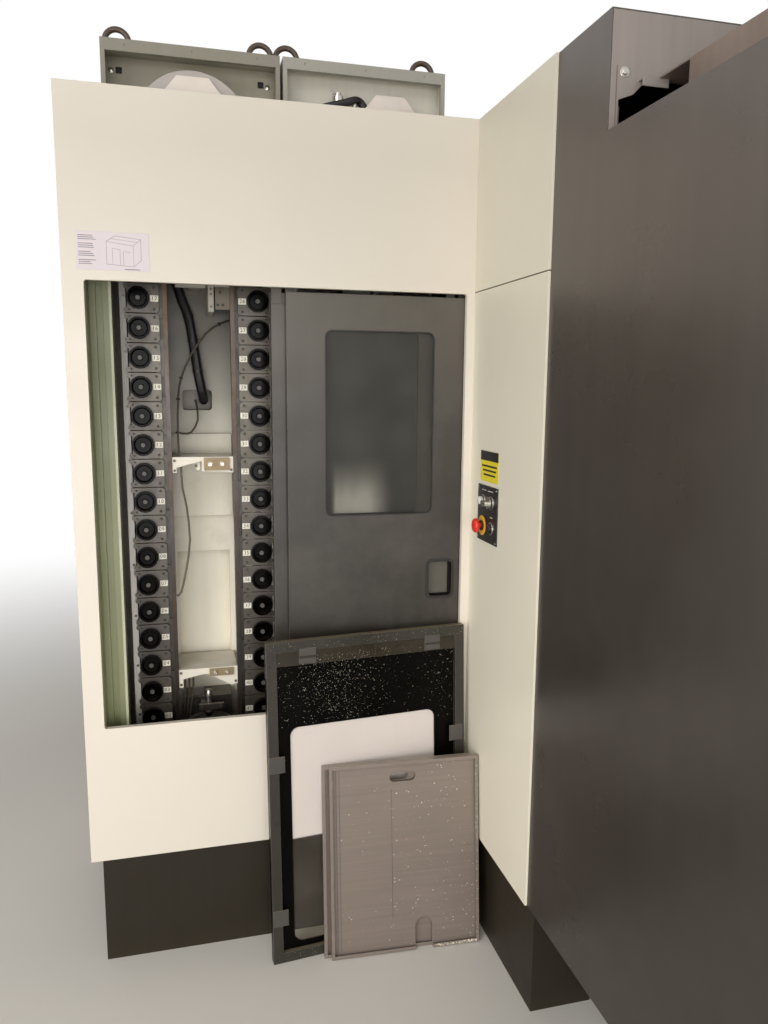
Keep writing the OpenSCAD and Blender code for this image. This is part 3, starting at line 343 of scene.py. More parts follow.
# The rise ramp paints shade towards the top of the opening
M["sage"] = finish_of(
    "sage_liner", (152, 157, 118), 0.42, mottle=0.06, streak=0.05,
    stain=((128, 130, 98), 4.0, 0.5, 0.8, 0.4), edge=0.85, speck=((60, 0.05, 0.06, (70, 64, 46)),),
    edge_rgb=(222, 222, 200), radius=0.0018,
    rise=((0.7, 1.12), (1.2, 1.0), (1.5, 0.8), (1.85, 0.6))
)
# A pale strip painted along the liner's edge as its highlight; the rise ramp paints shade towards
# the top
M["pale_edge"] = finish_of(
    "pale_edge", (214, 216, 190), 0.42, mottle=0.08, grain=9.0, streak=0.08, edge=0.6,
    edge_rgb=(236, 236, 220), stain=((150, 150, 118), 6.0, 0.5, 0.75, 0.6),
    rise=((0.6, 1.1), (1.2, 1.0), (1.5, 0.8), (1.85, 0.6))
)
ROOF_COVER = dict(streak=0.04, dust=0.5, edge=0.6, edge_rgb=(224, 222, 212), front=FLANGE)
M["cover_grey"] = finish_of(
    "roof_cover", (176, 171, 154), 0.42, stain=((150, 142, 122), 4.0, 0.5, 0.8, 0.35),
    grime_and_shade=((112, 104, 86), 0.4), **ROOF_COVER
)
# The right roof cover has the left cover's paint, painted lighter: painted light
M["cover_grey_painted_lighter"] = finish_of(
    "roof_cover_right", (204, 201, 188), 0.42, stain=((160, 152, 132), 4.0, 0.5, 0.8, 0.3),
    grime_and_shade=((122, 114, 96), 0.35), **ROOF_COVER
)
M["charcoal"] = finish_of(
    "charcoal_door", (56, 52, 46), 0.38, mottle=0.11, grain=2.4, streak=0.06,
    speck=(
        (150, 0.1, 0.06, (138, 130, 116)), (75, 0.07, 0.12, (38, 34, 28)),
        (40, 0.03, 0.05, (120, 112, 98))
    ),
    stain=((88, 84, 74), 3.2, 0.48, 0.75, 0.6), dust=0.5, edge=0.8, edge_rgb=(150, 145, 134),
    radius=0.0016, rise=DOOR_RISE
)
M["wall"] = finish_of(
    "dark_side_wall", (57, 51, 46), 0.3, mottle=0.12, grain=1.1, streak=0.07,
    streak_scale=(22, 22, 0.8),
    speck=(
        (42, 0.035, 0.1, (150, 144, 136)), (90, 0.05, 0.05, (30, 26, 22)),
        (17, 0.018, 0.1, (170, 160, 140))
    ),
    stain=((74, 69, 62), 1.7, 0.5, 0.85, 0.5), dust=0.4, edge=0.55, edge_rgb=(150, 144, 132),
    rise=WALL_RISE
)
M["step_grey"] = finish_of(
    "step_grey", (141, 132, 127), 0.42, mottle=0.07, grain=2.5, streak=0.07,
    stain=((120, 112, 106), 3.0, 0.5, 0.8, 0.5), dust=0.3, edge=0.8, edge_rgb=(220, 214, 204),
    radius=0.0018
)
M["duct"] = finish_of(
    "roof_duct_dark", (118, 102, 92), 0.46, mottle=0.2, grain=5.0, streak=0.08,
    stain=((84, 72, 62), 6.0, 0.5, 0.75, 0.6), dust=0.35, edge=0.5, edge_rgb=(110, 100, 90)
)
M["plinth"] = finish_of(
    "plinth_black", (38, 32, 22), 0.5, spec=0.3, mottle=0.14, grain=2.0, streak=0.08,
    speck=((110, 0.08, 0.07, (120, 108, 88)),), dust=0.6, dust_rgb=(130, 118, 98), edge=0.5,
    edge_rgb=(96, 88, 74), rise=((0.0, 1.4), (0.05, 1.08), (0.3, 0.95))
)
M["green"] = finish_of(
    "machine_green", (106, 124, 108), 0.42, mottle=0.06, grime_and_shade=((44, 46, 36), 0.6), dust=0.5,
    edge=0.4
)
# The rise ramp makes the link plates darker towards the bottom and paints shade towards the top of
# the opening
M["link"] = finish_of(
    "oily_link_plate", (104, 97, 84), 0.36, 0.15, mottle=0.16, grain=9.0, streak=0.05,
    stain=((60, 50, 36), 11.0, 0.48, 0.74, 0.6), grime_and_shade=((22, 18, 13), 0.8),
    speck=((170, 0.13, 0.08, (26, 20, 14)),), edge=0.85, edge_rgb=(168, 160, 144), radius=0.001,
    rise=((0.5, 0.4), (0.9, 0.5), (1.3, 0.68), (1.6, 0.84), (1.85, 0.55))
)
M["steel"] = finish_of(
    "bright_steel", (190, 186, 178), 0.24, 0.9, mottle=0.08, grain=6.0, dust=0.2, edge=0.4,
    stain=((110, 96, 78), 7.0, 0.58, 0.8, 0.35)
)
M["oily_steel"] = finish_of(
    "oily_steel", (112, 104, 92), 0.34, 0.75, mottle=0.14, grain=8.0,
    stain=((58, 46, 32), 9.0, 0.48, 0.72, 0.65), grime_and_shade=((26, 22, 16), 0.7), edge=0.6
)
M["eye"] = finish_of(
    "lifting_eye", (78, 64, 52), 0.42, 0.3, mottle=0.16, grain=9.0,
    stain=((52, 40, 30), 9.0, 0.48, 0.72, 0.65), edge=0.3
)
M["galvanised"] = finish_of(
    "grey_sheet_cover", (131, 119, 110), 0.36, 0.15, grain=3.0, streak=0.07,
    streak_scale=(3.0, 3.0, 130),
    speck=((120, 0.1, 0.06, (206, 198, 184)), (60, 0.05, 0.05, (90, 80, 70))),
    stain=((124, 114, 103), 3.4, 0.5, 0.8, 0.45), dust=0.45, dust_rgb=(178, 168, 152), edge=0.95,
    edge_rgb=(214, 208, 196), radius=0.0016
)
M["black_iron"] = finish_of(
    "black_iron", (56, 52, 47), 0.42, 0.3, mottle=0.14, grain=6.0, grime_and_shade=((18, 16, 13), 0.7),
    stain=((92, 76, 54), 8.0, 0.56, 0.8, 0.5), dust=0.4, edge=0.6
)
M["pot"] = finish_of(
    "black_tool_pot", (6, 5, 5), 0.16, mottle=0.18, grain=8.0, edge=0.25, edge_rgb=(64, 58, 54),
    dust=0.3, dust_rgb=(58, 50, 42), radius=0.0009, spec=0.07, grime_and_shade=((3, 3, 3), 0.6)
)
M["stud"] = finish_of(
    "pot_stud", (96, 93, 91), 0.4, 0.1, spec=0.3, mottle=0.15, grain=30.0, edge=0.5,
    edge_rgb=(180, 178, 174), radius=0.0006
)
M["black_plastic"] = finish_of(
    "black_plastic", (34, 32, 31), 0.36, mottle=0.08, dust=0.3, edge=0.5, edge_rgb=(96, 92, 88),
    radius=0.0009
)
M["rubber"] = finish_of(
    "cable_rubber", (24, 22, 24), 0.42, mottle=0.14, grain=12.0, dust=0.35, dust_rgb=(96, 88, 74),
    edge=0.0
)
# The rise ramp paints light low in the opening and shade towards its top
M["grey_cable"] = finish_of("grey_cable", (92, 86, 72), 0.45, mottle=0.12, grain=12.0, edge=0.0,
                            rise=((0.7, 1.3), (1.3, 1.1), (1.6, 0.7), (1.85, 0.5)))
M["red"] = finish_of(
    "red_button", (216, 50, 34), 0.3, grain=20.0, edge=0.3, edge_rgb=(255, 120, 96),
    coat=0.2
)
M["white_lens"] = finish_of(
    "white_lens", (214, 212, 204), 0.25, grain=30.0, edge=0.3, coat=0.4
)
M["station"] = finish_of(
    "station_plate", (30, 28, 27), 0.34, mottle=0.1, grain=9.0, dust=0.2, edge=0.6,
    edge_rgb=(120, 116, 110)
)
M["yellow"] = finish_of(
    "yellow_plate", (226, 208, 36), 0.4, grain=10.0, edge=0.3, bump=0.04
)
M["ring_yellow"] = finish_of(
    "ring_yellow", (226, 170, 50), 0.4, mottle=0.06, grain=12.0, edge=0.4, bump=0.04
)
PRINT = dict(mottle=0.1, grain=20.0, edge=0.0, bump=0.03)
M["ink"] = finish_of("black_print", (26, 24, 22), 0.5, **PRINT)
M["grey_ink"] = finish_of("grey_print", (126, 122, 128), 0.5, **PRINT)
M["label"] = finish_of(
    "pale_label", (206, 196, 199), 0.42, mottle=0.03, grain=12.0, edge=0.0, bump=0.03,
    speck=((160, 0.08, 0.05, (150, 140, 134)),)
)
M["tag"] = finish_of(
    "number_tag", (226, 221, 205), 0.4, mottle=0.09, grain=26.0,
    stain=((140, 126, 96), 16.0, 0.52, 0.8, 0.45), edge=0.4, edge_rgb=(120, 110, 90), radius=0.0006
)
M["gasket"] = finish_of(
    "window_gasket", (30, 28, 27), 0.36, mottle=0.1, grain=10.0, edge=0.5,
    edge_rgb=(120, 116, 110), radius=0.0008
)
M["handle_black"] = finish_of("handle_black", (15, 14, 13), 0.3, mottle=0.1, grain=9.0, edge=0.5,
                              edge_rgb=(84, 80, 76), radius=0.0009, spec=0.25)
M["cup_floor"] = finish_of("cup_floor", (84, 80, 72), 0.4, mottle=0.1, grain=6.0, edge=0.2)
M["chips"] = finish_of(
    "metal_chips", (246, 238, 214), 0.3, 0.3, mottle=0.3, grain=60.0, edge=0.0, bump=0.3
)
M["screen"] = finish_of("dark_screen", (28, 32, 36), 0.16, mottle=0.08, grain=3.0, edge=0.2)


def two_tone(name, first, second, axis, limit):
    """Two finishes in one material; the second lies beyond limit on the axis."""
    g = Graph(name)
    shaders = []
    for rgb, rough, metal, dirt in (first, second):
        colour = g.scaled(linear(rgb), g.remap(g.noise(6.0, 5.0, 0.6), 0.3, 0.7, 0.92, 1.08))
        colour = g.mix(g.remap(g.noise(9.0, 5.0, 0.7), 0.55, 0.8, 0.0, 0.6), colour, linear(dirt))
        normal, mask = g.edges(0.0012)
        # Lighter edges: rubbed wear, and painted highlights along the edges
        colour = g.mix(
            g.math("MULTIPLY", mask, 0.4), colour, linear([min(255, c + 40) for c in rgb])
        )
        shaders.append(g.surface(colour, rough, metal, normal))
    return g.done(g.blend(g.math("GREATER_THAN", g.axis(axis), limit), *shaders))


M["drive_cover"] = two_tone("drive_cover", ((222, 212, 202), 0.4, 0.0, (180, 168, 150)),
                            ((178, 171, 165), 0.42, 0.0, (140, 132, 120)), 1, 0.5735)
M["brass"] = two_tone("wear_plate", ((146, 128, 96), 0.5, 0.2, (104, 78, 46)),
                      ((92, 84, 72), 0.42, 0.4, (52, 44, 34)), 2, 1.7)


def rails():
    """Worn guide rail: rust and blue steel in long vertical patches."""
    g = Graph("guide_rail")
    runs = g.noise(1.0, 5.0, 0.6, g.stretched((30, 30, 2.4)))
    colour = g.mix(g.remap(runs, 0.35, 0.62), linear((84, 66, 53)), linear((80, 76, 75)))
    patch = g.noise(1.0, 4.0, 0.6, g.stretched((16, 16, 5.0)))
    colour = g.mix(g.remap(patch, 0.5, 0.66, 0.0, 0.8), colour, linear((104, 80, 60)))
    colour = g.mix(
        g.remap(g.noise(26.0, 5.0, 0.7), 0.5, 0.75, 0.0, 0.8), colour, linear((48, 38, 30))
    )
    colour = g.scaled(colour, g.remap(g.axis(2), 0.8, 1.6, 0.4, 1.05))
    normal, mask = g.edges(0.001)
    # Lighter edges: rubbed wear, and painted highlights along the edges
    colour = g.mix(g.math("MULTIPLY", mask, 0.5), colour, linear((150, 138, 122)))
    rough = g.remap(patch, 0.3, 0.7, 0.28, 0.5)
    return g.done(
        g.surface(colour, rough, 0.4, normal, spec=0.3, bump=(g.noise(300.0), 0.15, BUMP_DEPTH))
    )


def pane(name, tint, haze_rgb, low, high, painted_gleam=None, sheen=0.5):
    """Scuffed clear plastic: tinted see-through, a film of dirt, a soft sheen and, when given, a
    patch of painted light.
    """
    g = Graph(name)
    film = g.noise(1.0, 6.0, 0.65, g.stretched((30, 30, 1.6)))
    cloud = g.noise(4.0, 6.0, 0.6)
    fac = g.math(
        "MULTIPLY", g.remap(cloud, 0.3, 0.7, low, high), g.remap(film, 0.2, 0.8, 0.8, 1.2)
    )
    fac = g.math("ADD", fac, g.math("MULTIPLY", g.specks(90.0, 0.1, 0.05), 0.2))
    haze = g.scaled(linear(haze_rgb), g.remap(cloud, 0.3, 0.7, 0.9, 1.1))
    # Painted light: a patch of brighter, thicker haze standing in for light on the pane
    if painted_gleam:
        rgb, (z_full, z_none), (x_full, x_none), (x_start, x_in), amount = painted_gleam
        lit = g.math("MULTIPLY", g.remap(g.axis(2), z_none, z_full, smooth=True),
                     g.remap(g.axis(0), x_none, x_full, smooth=True))
        lit = g.math("MULTIPLY", lit, g.remap(g.axis(0), x_start, x_in, smooth=True))
        haze = g.mix(lit, haze, linear(rgb))
        fac = g.math("ADD", fac, g.math("MULTIPLY", lit, amount))
    clear = g.node("ShaderNodeBsdfTransparent")
    clear.inputs[0].default_value = linear(tint)
    body = g.blend(fac, clear.outputs[0], g.surface(haze, 0.5))
    shine = g.node("ShaderNodeBsdfGlossy")
    shine.inputs["Roughness"].default_value = 0.12
    fresnel = g.node("ShaderNodeFresnel")
    fresnel.inputs[0].default_value = 1.4
    return g.done(g.blend(g.math("MULTIPLY", fresnel.outputs[0], sheen), body, shine.outputs[0]))


M["rail"] = rails()
M["door_pane"] = pane("door_pane", (232, 232, 228), (112, 110, 106), 0.08, 0.2, sheen=0.3)
# The rear door pane carries a patch of painted light
M["murky_pane"] = pane(
    "murky_pane", (150, 150, 148), (76, 75, 72), 0.55, 0.8, sheen=0.3,
    painted_gleam=((255, 252, 250), (1.25, 1.41), (-0.76, -0.67), (-0.862, -0.842), 0.45)
)
M["plain_pane"] = pane("plain_pane", (186, 186, 182), (62, 61, 59), 0.3, 0.5)
# The cover pane is painted lighter above where the panel's lower edge shows through it, standing
# in for the lit panel
M["cover_pane"] = pane("cover_pane", (250, 247, 240), (196, 190, 180), 0.02, 0.07, sheen=0.2,
                       painted_gleam=((240, 231, 226), (0.352, 0.346), (2.0, 3.0), (-3.0, -2.0), 0.62))

NODE_FINISH = {
    "cream": ["magazine_front_panel", "magazine_cabinet"], "drive_cover": ["drive_covers"],
    "pale_side": ["side_panels", "front_door", "spindle_head", "saddle"],
    "inner_cream": ["back_panels", "door_tracks"], "frame_strip": ["frame_side_plates"],
    "bracket": ["cross_brackets"], "sage": ["left_liner"], "cover_grey": ["top_cover_left"],
    "cover_grey_painted_lighter": ["top_cover_right"], "charcoal": ["magazine_door", "rear_door"],
    "wall": ["main_side_wall", "main_front_wall", "main_enclosure", "operator_console"],
    "step_grey": ["step_face"], "duct": ["roof_duct"], "plinth": ["plinths"],
    "station": ["control_plate"], "green": ["machine_bed", "column"],
    "link": [
        "chain_rising", "chain_falling", "bottom_chain_left", "top_wheel_left", "top_wheel_right",
        "bottom_wheel_right"
    ],
    "oily_steel": ["bottom_sprocket_left"], "eye": ["lifting_eyes"],
    "steel": ["air_cylinder", "spindle", "pallet_table", "selector_knob"],
    "galvanised": ["sheet_covers"], "black_iron": ["bearing_housings"], "rail": ["guide_rails"],
    "brass": ["switch_blocks"],
    "pot": [
        "pots_rising", "pots_falling", "top_pots_left", "bottom_pots_left", "top_pots_right",
        "bottom_pots_right"
    ],
    "handle_black": ["door_handle"], "black_plastic": ["key_button"],
    "rubber": ["air_hose", "main_cable"], "grey_cable": ["sensor_cables"],
    "door_pane": ["door_window"], "murky_pane": ["rear_door_window"],
    "plain_pane": ["front_door_window"], "cover_pane": ["cover_window"], "red": ["estop_button"],
    "white_lens": ["lamp_button"],
}
for key, names in NODE_FINISH.items():
    for name in names:
        mesh = nodes[name].data
        mesh.materials.clear()
        mesh.materials.append(M[key])


# Mesh building

FRONT, LEFT, UP = (0, -1, 0), (-1, 0, 0), (0, 0, 1)  # ways that axes of screws point


class Piece:
    """Gathers small parts of one finish group into one object that rides on a body."""

    def __init__(self, name, body, slot):
        self.name, self.body, self.slot = name, body, slot
        self.points, self.faces, self.face_mat, self.mats = [], [], [], []
        self.at = Matrix.Identity(4)

    def add(self, points, faces, mat):
        if mat not in self.mats:
            self.mats.append(mat)
        base = len(self.points)
        self.points += [self.at @ Vector(p) for p in points]
        self.faces += [tuple(base + i for i in f) for f in faces]
        self.face_mat += [self.mats.index(mat)] * len(faces)

    def box(self, lo, hi, mat, c=0.5):
        """A box with chamfered edges."""
        c = min(c, *(abs(b - a) * 0.45 for a, b in zip(lo, hi)))
        points = []
        for i in range(8):
            bits = [(i >> k) & 1 for k in range(3)]
            for axis in range(3):
                inset = [0 if k == axis else c for k in range(3)]
                points.append(
                    [hi[k] - inset[k] if bits[k] else lo[k] + inset[k] for k in range(3)]
                )
        faces = []
        for axis in range(3):
            a, b = (axis + 1) % 3, (axis + 2) % 3
            for s in range(2):
                ring = [
                    (s << axis) | (p << a) | (q << b) for p, q in ((0, 0), (1, 0), (1, 1), (0, 1))
                ]
                face = [i * 3 + axis for i in ring]
                faces.append(face if s else face[::-1])
                for t in range(2):
                    i = (s << a) | (t << b)
                    j = i | (1 << axis)
                    face = [i * 3 + a, j * 3 + a, j * 3 + b, i * 3 + b]
                    faces.append(face if s != t else face[::-1])
        for i in range(8):
            odd = ((i & 1) + ((i >> 1) & 1) + ((i >> 2) & 1)) % 2
            face = [i * 3, i * 3 + 1, i * 3 + 2]
            faces.append(face if odd else face[::-1])
        self.add(points, faces, mat)

    def turned(self, centre, axis, profile, mat, sides=16, phase=0.0, closed=False):
        """A turned shape from (radius, distance along axis); a closed profile makes a ring."""
        n = Vector(axis).normalized()
        u = n.orthogonal().normalized() if abs(n.y) < 0.9 else Vector((1, 0, 0))
        v = n.cross(u)
        points, rings = [], []
        for r, d in profile:
            if r == 0:
                rings.append([len(points)])
                points.append(Vector(centre) + n * d)
            else:
                ring = []
                for k in range(sides):
                    a = 2 * math.pi * k / sides + phase
                    ring.append(len(points))
                    points.append(
                        Vector(centre) + n * d + u * (r * math.cos(a)) + v * (r * math.sin(a))
                    )
                rings.append(ring)
        faces = []
        for p, q in zip(rings, rings[1:]):
            for k in range(sides):
                m = (k + 1) % sides
                if len(p) == 1:
                    faces.append((p[0], q[m], q[k]))
                elif len(q) == 1:
                    faces.append((p[k], p[m], q[0]))
                else:
                    faces.append((p[k], p[m], q[m], q[k]))
        if len(rings[0]) > 1 and not closed:
            faces.append(rings[0][::-1])
        if len(rings[-1]) > 1 and not closed:
            faces.append(rings[-1])
        self.add(points, faces, mat)

    def screw(self, centre, axis, r, mat, head=None, hexagon=False):
        """A socket cap screw, or a hexagon head on a washer."""
        h = head or r * 0.6
        phase = random.uniform(0, 1.0)
        if hexagon:
            self.turned(
                centre, axis, ((r * 1.45, 0), (r * 1.45, 0.8), (r * 1.3, 1.2), (0, 1.2)), mat, 20
            )
            self.turned(
                centre, axis, ((r, 1.1), (r, h + 0.8), (r * 0.85, h + 1.2), (0, h + 1.2)), mat, 6,
                phase
            )
        else:
            self.turned(
                centre, axis,
                (
                    (r, 0), (r, h * 0.75), (r * 0.86, h), (r * 0.52, h), (r * 0.5, h * 0.35),
                    (0, h * 0.35)
                ),
                mat, 12, phase
            )

    def make(self):
        mesh = bpy.data.meshes.new(self.name)
        mesh.from_pydata([world(p) for p in self.points], [], self.faces)
        for key in self.mats:
            mesh.materials.append(M[key])
        mesh.polygons.foreach_set("material_index", self.face_mat)
        mesh.polygons.foreach_set("use_smooth", [True] * len(self.faces))
        mesh.set_sharp_from_angle(angle=math.radians(32))
        mesh.validate()
        obj = bpy.data.objects.new(self.name, mesh)
        scene.collection.objects.link(obj)
        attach(obj, self.body)
        return obj


def round_rect(x0, z0, x1, z1, r):
    """Corner points of a rounded rectangle, anticlockwise from its lower right corner."""
    out, steps = [], 6
    for cx, cz, a0 in (
        (x1 - r, z0 + r, -90), (x1 - r, z1 - r, 0), (x0 + r, z1 - r, 90), (x0 + r, z0 + r, 180)
    ):
        for k in range(steps + 1):
            a = math.radians(a0 + 90 * k / steps)
            out.append((cx + r * math.cos(a), cz + r * math.sin(a)))
    return out


def ring_xz(piece, outer, inner, y0, y1, mat):
    """A flat ring between two loops of as many points, from y0 at the front to y1."""
    n = len(outer)
    points = [(x, y, z) for loop in (outer, inner) for y in (y0, y1) for x, z in loop]
    faces = []
    for k in range(n):
        m = (k + 1) % n
        faces += [(k, m, 2 * n + m, 2 * n + k), (n + k, 3 * n + k, 3 * n + m, n + m),
                  (k, n + k, n + m, m), (2 * n + k, 2 * n + m, 3 * n + m, 3 * n + k)]
    piece.add(points, faces, mat)


# Tool magazine chain: number tags, screws and pot details

PITCH_LINK = 80.0
LINKS, STRAND_LINKS, ARC_LINKS = 46, 19, 4  # in a loop, on one strand, round a wheel
CHAIN_Y = 182.0
STRAND = 104.53  # strands from the loop's middle
CHORD = 96.57  # middles of the links from a sprocket's axis
BOTTOM_AXIS, TOP_AXIS = 513.5, 2033.5
FIRST_Z = BOTTOM_AXIS + PITCH_LINK / 2
HALF_STEP = 22.5  # half the angle between two teeth
TAG_OUT, POT_OUT = 14.5, 57.2  # outward from the pitch line
LOOPS = (("left", 333.0), ("right", 807.0))


def glyph(digit):
    """Points and faces of a digit, one unit high, in the plane."""
    curve = bpy.data.curves.new("digit", "FONT")
    curve.body = digit
    curve.align_x, curve.align_y = "CENTER", "CENTER"
    curve.resolution_u = 3
    obj = bpy.data.objects.new("digit", curve)
    scene.collection.objects.link(obj)
    shown = obj.evaluated_get(bpy.context.evaluated_depsgraph_get())
    mesh = shown.to_mesh()
    made = [v.co.copy() for v in mesh.vertices], [tuple(p.vertices) for p in mesh.polygons]
    shown.to_mesh_clear()
    bpy.data.objects.remove(obj)
    bpy.data.curves.remove(curve)
    return made


GLYPHS = {d: glyph(d) for d in "0123456789"}


def link_places():
    """Body, number, centre on the pitch line (x, z) and outward angle of each link."""
    out = []
    for i, (side, x) in enumerate(LOOPS):
        first = LINKS * i
        for k in range(STRAND_LINKS):
            z = FIRST_Z + PITCH_LINK * k
            out.append(("rising_strands", first + 1 + k, x - STRAND, z, math.pi))
            number = first + 2 * STRAND_LINKS + ARC_LINKS - k
            out.append(("falling_strands", number, x + STRAND, z, 0.0))
        for k in range(ARC_LINKS):
            for end, axis_z, turn, last in (
                ("top", TOP_AXIS, 0.0, STRAND_LINKS + ARC_LINKS),
                ("bottom", BOTTOM_AXIS, math.pi, LINKS)
            ):
                a = math.radians(HALF_STEP * (2 * k + 1)) + turn
                spot = x + CHORD * math.cos(a), axis_z + CHORD * math.sin(a)
                out.append((f"{end}_{side}_wheel", first + last - k, *spot, a))
    return out


random.seed(7)
tags, screws, pots = {}, {}, {}
for body, number, x, z, angle in link_places():
    if body not in tags:
        tags[body] = Piece(f"number_tags_{body}", body, "white_plastic")
        screws[body] = Piece(f"link_screws_{body}", body, "black_iron")
        pots[body] = Piece(f"pot_fittings_{body}", body, "black_plastic")
    out = Vector((math.cos(angle), 0, math.sin(angle)))
    up = Vector((math.sin(angle), 0, -math.cos(angle)))
    strand = "wheel" not in body
    read_up = Vector((0, 0, 1)) if strand else up
    across = Vector((1, 0, 0)) if strand else Vector((up.z, 0, -up.x))
    # tag
    spot = Vector((x, 0, z)) + out * TAG_OUT
    tilt = random.uniform(-0.03, 0.03)
    ax = (across * math.cos(tilt) + read_up * math.sin(tilt)).normalized()
    az = (read_up * math.cos(tilt) - across * math.sin(tilt)).normalized()
    place = Matrix((
        (ax.x, 0, az.x, spot.x + random.uniform(-0.7, 0.7)),
        (0, 1, 0, CHAIN_Y),
        (ax.z, 0, az.z, spot.z + random.uniform(-0.8, 0.8)),
        (0, 0, 0, 1),
    ))
    tag = tags[body]
    tag.at = place
    tag.box((-11, -1.1, -8.5), (11, 0, 8.5), "tag", 0.5)
    for n, digit in enumerate(f"{number:02d}"):
        points, faces = GLYPHS[digit]
        tag.add([((n - 0.5) * 8.2 + p.x * 15, -1.16, p.y * 15) for p in points], faces, "ink")
    # screws at the corners of the plate
    for u, v, r in ((15, 29, 3.6), (15, -29, 3.6), (81, 31, 2.6), (81, -31, 2.6)):
        p = Vector((x, CHAIN_Y, z)) + out * u + up * v
        screws[body].screw(p, FRONT, r, "black_iron", 1.4)
    # pot: a socket in the stud and lugs on the collar
    centre = Vector((x, 0, z)) + out * POT_OUT
    pot = pots[body]
    pot.turned(
        (centre.x, 173.4, centre.z), FRONT,
        ((7.2, 0), (7.2, 3.2), (6.2, 4.2), (3.2, 4.2), (3.0, 2.6), (0, 2.6)), "stud", 6,
        random.uniform(0, 1)
    )
    for k in range(8):
        a = angle + math.radians(HALF_STEP * (2 * k + 1))
        pot.at = Matrix.Translation((centre.x, 0, centre.z)) @ Matrix.Rotation(-a, 4, "Y")
        pot.box((24.0, 167.0, -1.6), (27.4, 168.4, 1.6), "pot", 0.5)
    pot.at = Matrix.Identity(4)
for group in (tags, screws, pots):
    for piece in group.values():
        piece.make()

# Brackets, bearings and cables of the magazine

hardware = Piece("magazine_bolts", "machine_frame", "black_iron")
for _, x in LOOPS:
    for z, low, bolt_up in ((1354.0, 6, 23.5), (727.0, -2, 30.5)):
        for dx, dz in ((-79, low), (-79, 34), (79, low)):
            hardware.screw((x + dx, 178, z + dz), FRONT, 3.6, "oily_steel", 2.6)
        for dx in (20, 54):
            hardware.turned(
                (x + dx, 167, z + bolt_up), FRONT,
                (
                    (7, -4.9), (7, -4), (5, -4), (5, 0.8), (4.4, 1.2), (2.4, 1.2), (2.2, 0.2),
                    (0, 0.2)
                ),
                "steel", 14
            )
    hardware.screw((x - 20, 188, 1372), FRONT, 4.2, "oily_steel", 3)
    for dz in (1816, 1850, 1864):
        hardware.screw((x + 33.5, 182, dz), FRONT, 3.4, "oily_steel", 2.6)
    for dx, dz in ((52, 1822), (66, 1822), (58, 1856)):
        hardware.screw((x + dx, 183, dz), FRONT, 3.6, "black_iron", 2.8)
    for side in (-1, 1):
        for z in range(640, 1990, 150):
            hardware.screw((x + side * 200, 192, z), FRONT, 3.4, "oily_steel", 2.4)
    for axis_z in (BOTTOM_AXIS, TOP_AXIS):
        hardware.screw((x, 190, axis_z), FRONT, 9, "oily_steel", 5, True)
hardware.make()

lower = Piece("chain_adjuster", "machine_frame", "bright_steel")
x = LOOPS[0][1]
lower.box((x - 30, 176, 640), (x + 44, 186, 660), "black_iron", 1.5)
lower.box((x - 24, 186, 640), (x - 8, 330, 652), "black_iron", 1.5)
for dx in (-20, 34):
    lower.screw((x + dx, 176, 650), FRONT, 5.5, "oily_steel", 5)
lower.turned(
    (x - 1, 196, 629), UP,
    ((10, 0), (10, 4), (7, 6), (7, 47), (11, 49), (11, 65), (9, 69), (0, 69)), "steel", 20
)
lower.turned((x - 1, 196, 640), UP, ((13, 0), (13, 12), (12, 13), (0, 13)), "steel", 6)
lower.box((x - 44, 172, 690), (x - 12, 178, 716), "black_iron", 1.5)
lower.make()

ties = Piece("cable_ties", "machine_frame", "cable_rubber")
for (cx, cy, cz), direction, r in (
    ((239, 315, 1990), (0, 0, 1), 15), ((277, 311, 1885), (0.25, 0, -1), 15),
    ((306, 306, 1799), (0.3, -0.1, -1), 15), ((317, 302, 1730), (0.2, 0, -1), 15),
    ((329, 302, 1640), (0.1, 0, -1), 15), ((311, 260, 1688), (0.5, 0.1, 1), 5.0),
    ((280, 254, 1620), (0.3, 0.1, 1), 5.0), ((270, 240, 1560), (0.1, 0.2, 1), 5.0),
    ((266, 220, 1465), (0, 0.2, 1), 6.0), ((392, 280, 1776), (1, 0.2, 0.4), 5.0),
):
    n = Vector(direction).normalized()
    ties.turned(
        Vector((cx, cy, cz)) - n * 2.5, n, ((r, 0), (r + 0.8, 0.6), (r + 0.8, 4.4), (r, 5)),
        "black_plastic", 14
    )
ties.make()

# Painted highlight along the liner's edge, and the flange of the frame strip beside it

edges = Piece("liner_edge_trim", "machine_frame", "sage_paint")
# pale strip: painted highlight on the liner's edge
edges.box((101.5, 90.6, 306), (108.6, 93.5, 2311), "pale_edge", 0.6)
edges.box((122.0, 192.4, 306), (128.0, 195.0, 2311), "frame_strip", 0.5)
edges.make()

# Sliding doors

WINDOW, CUP = (657, 1239, 970, 1751), (954, 986, 1040, 1105)
REAR_SHIFT = 36  # the rear door stands this much further left


def gasket(piece, opening, width, radii, y0, y1):
    """A rubber rim inside the edges of an opening, from y0 at the front to y1."""
    x0, z0, x1, z1 = opening
    inner = x0 + width, z0 + width, x1 - width, z1 - width
    loops = round_rect(*opening, radii[0]), round_rect(*inner, radii[1])
    ring_xz(piece, *loops, y0, y1, "gasket")


door = Piece("right_door_trim", "right_sliding_door", "black_plastic")
gasket(door, WINDOW, 3, (21, 19), 19.2, 24.0)
gasket(door, CUP, 8, (18, 12), 18.2, 21.0)
door.box((968, 38.0, 998), (1026, 39.2, 1092), "cup_floor", 0.6)
door.make()
rear = Piece("left_door_trim", "left_sliding_door", "black_plastic")
rear_window = (WINDOW[0] - REAR_SHIFT, WINDOW[1], WINDOW[2] - REAR_SHIFT, WINDOW[3])
gasket(rear, rear_window, 3, (21, 19), 53.2, 58.0)
for hx in (560, 985):
    for dx in (-7, 7):
        rear.screw((hx + dx, 54, 1818), FRONT, 3.4, "oily_steel", 2.2)
rear.make()

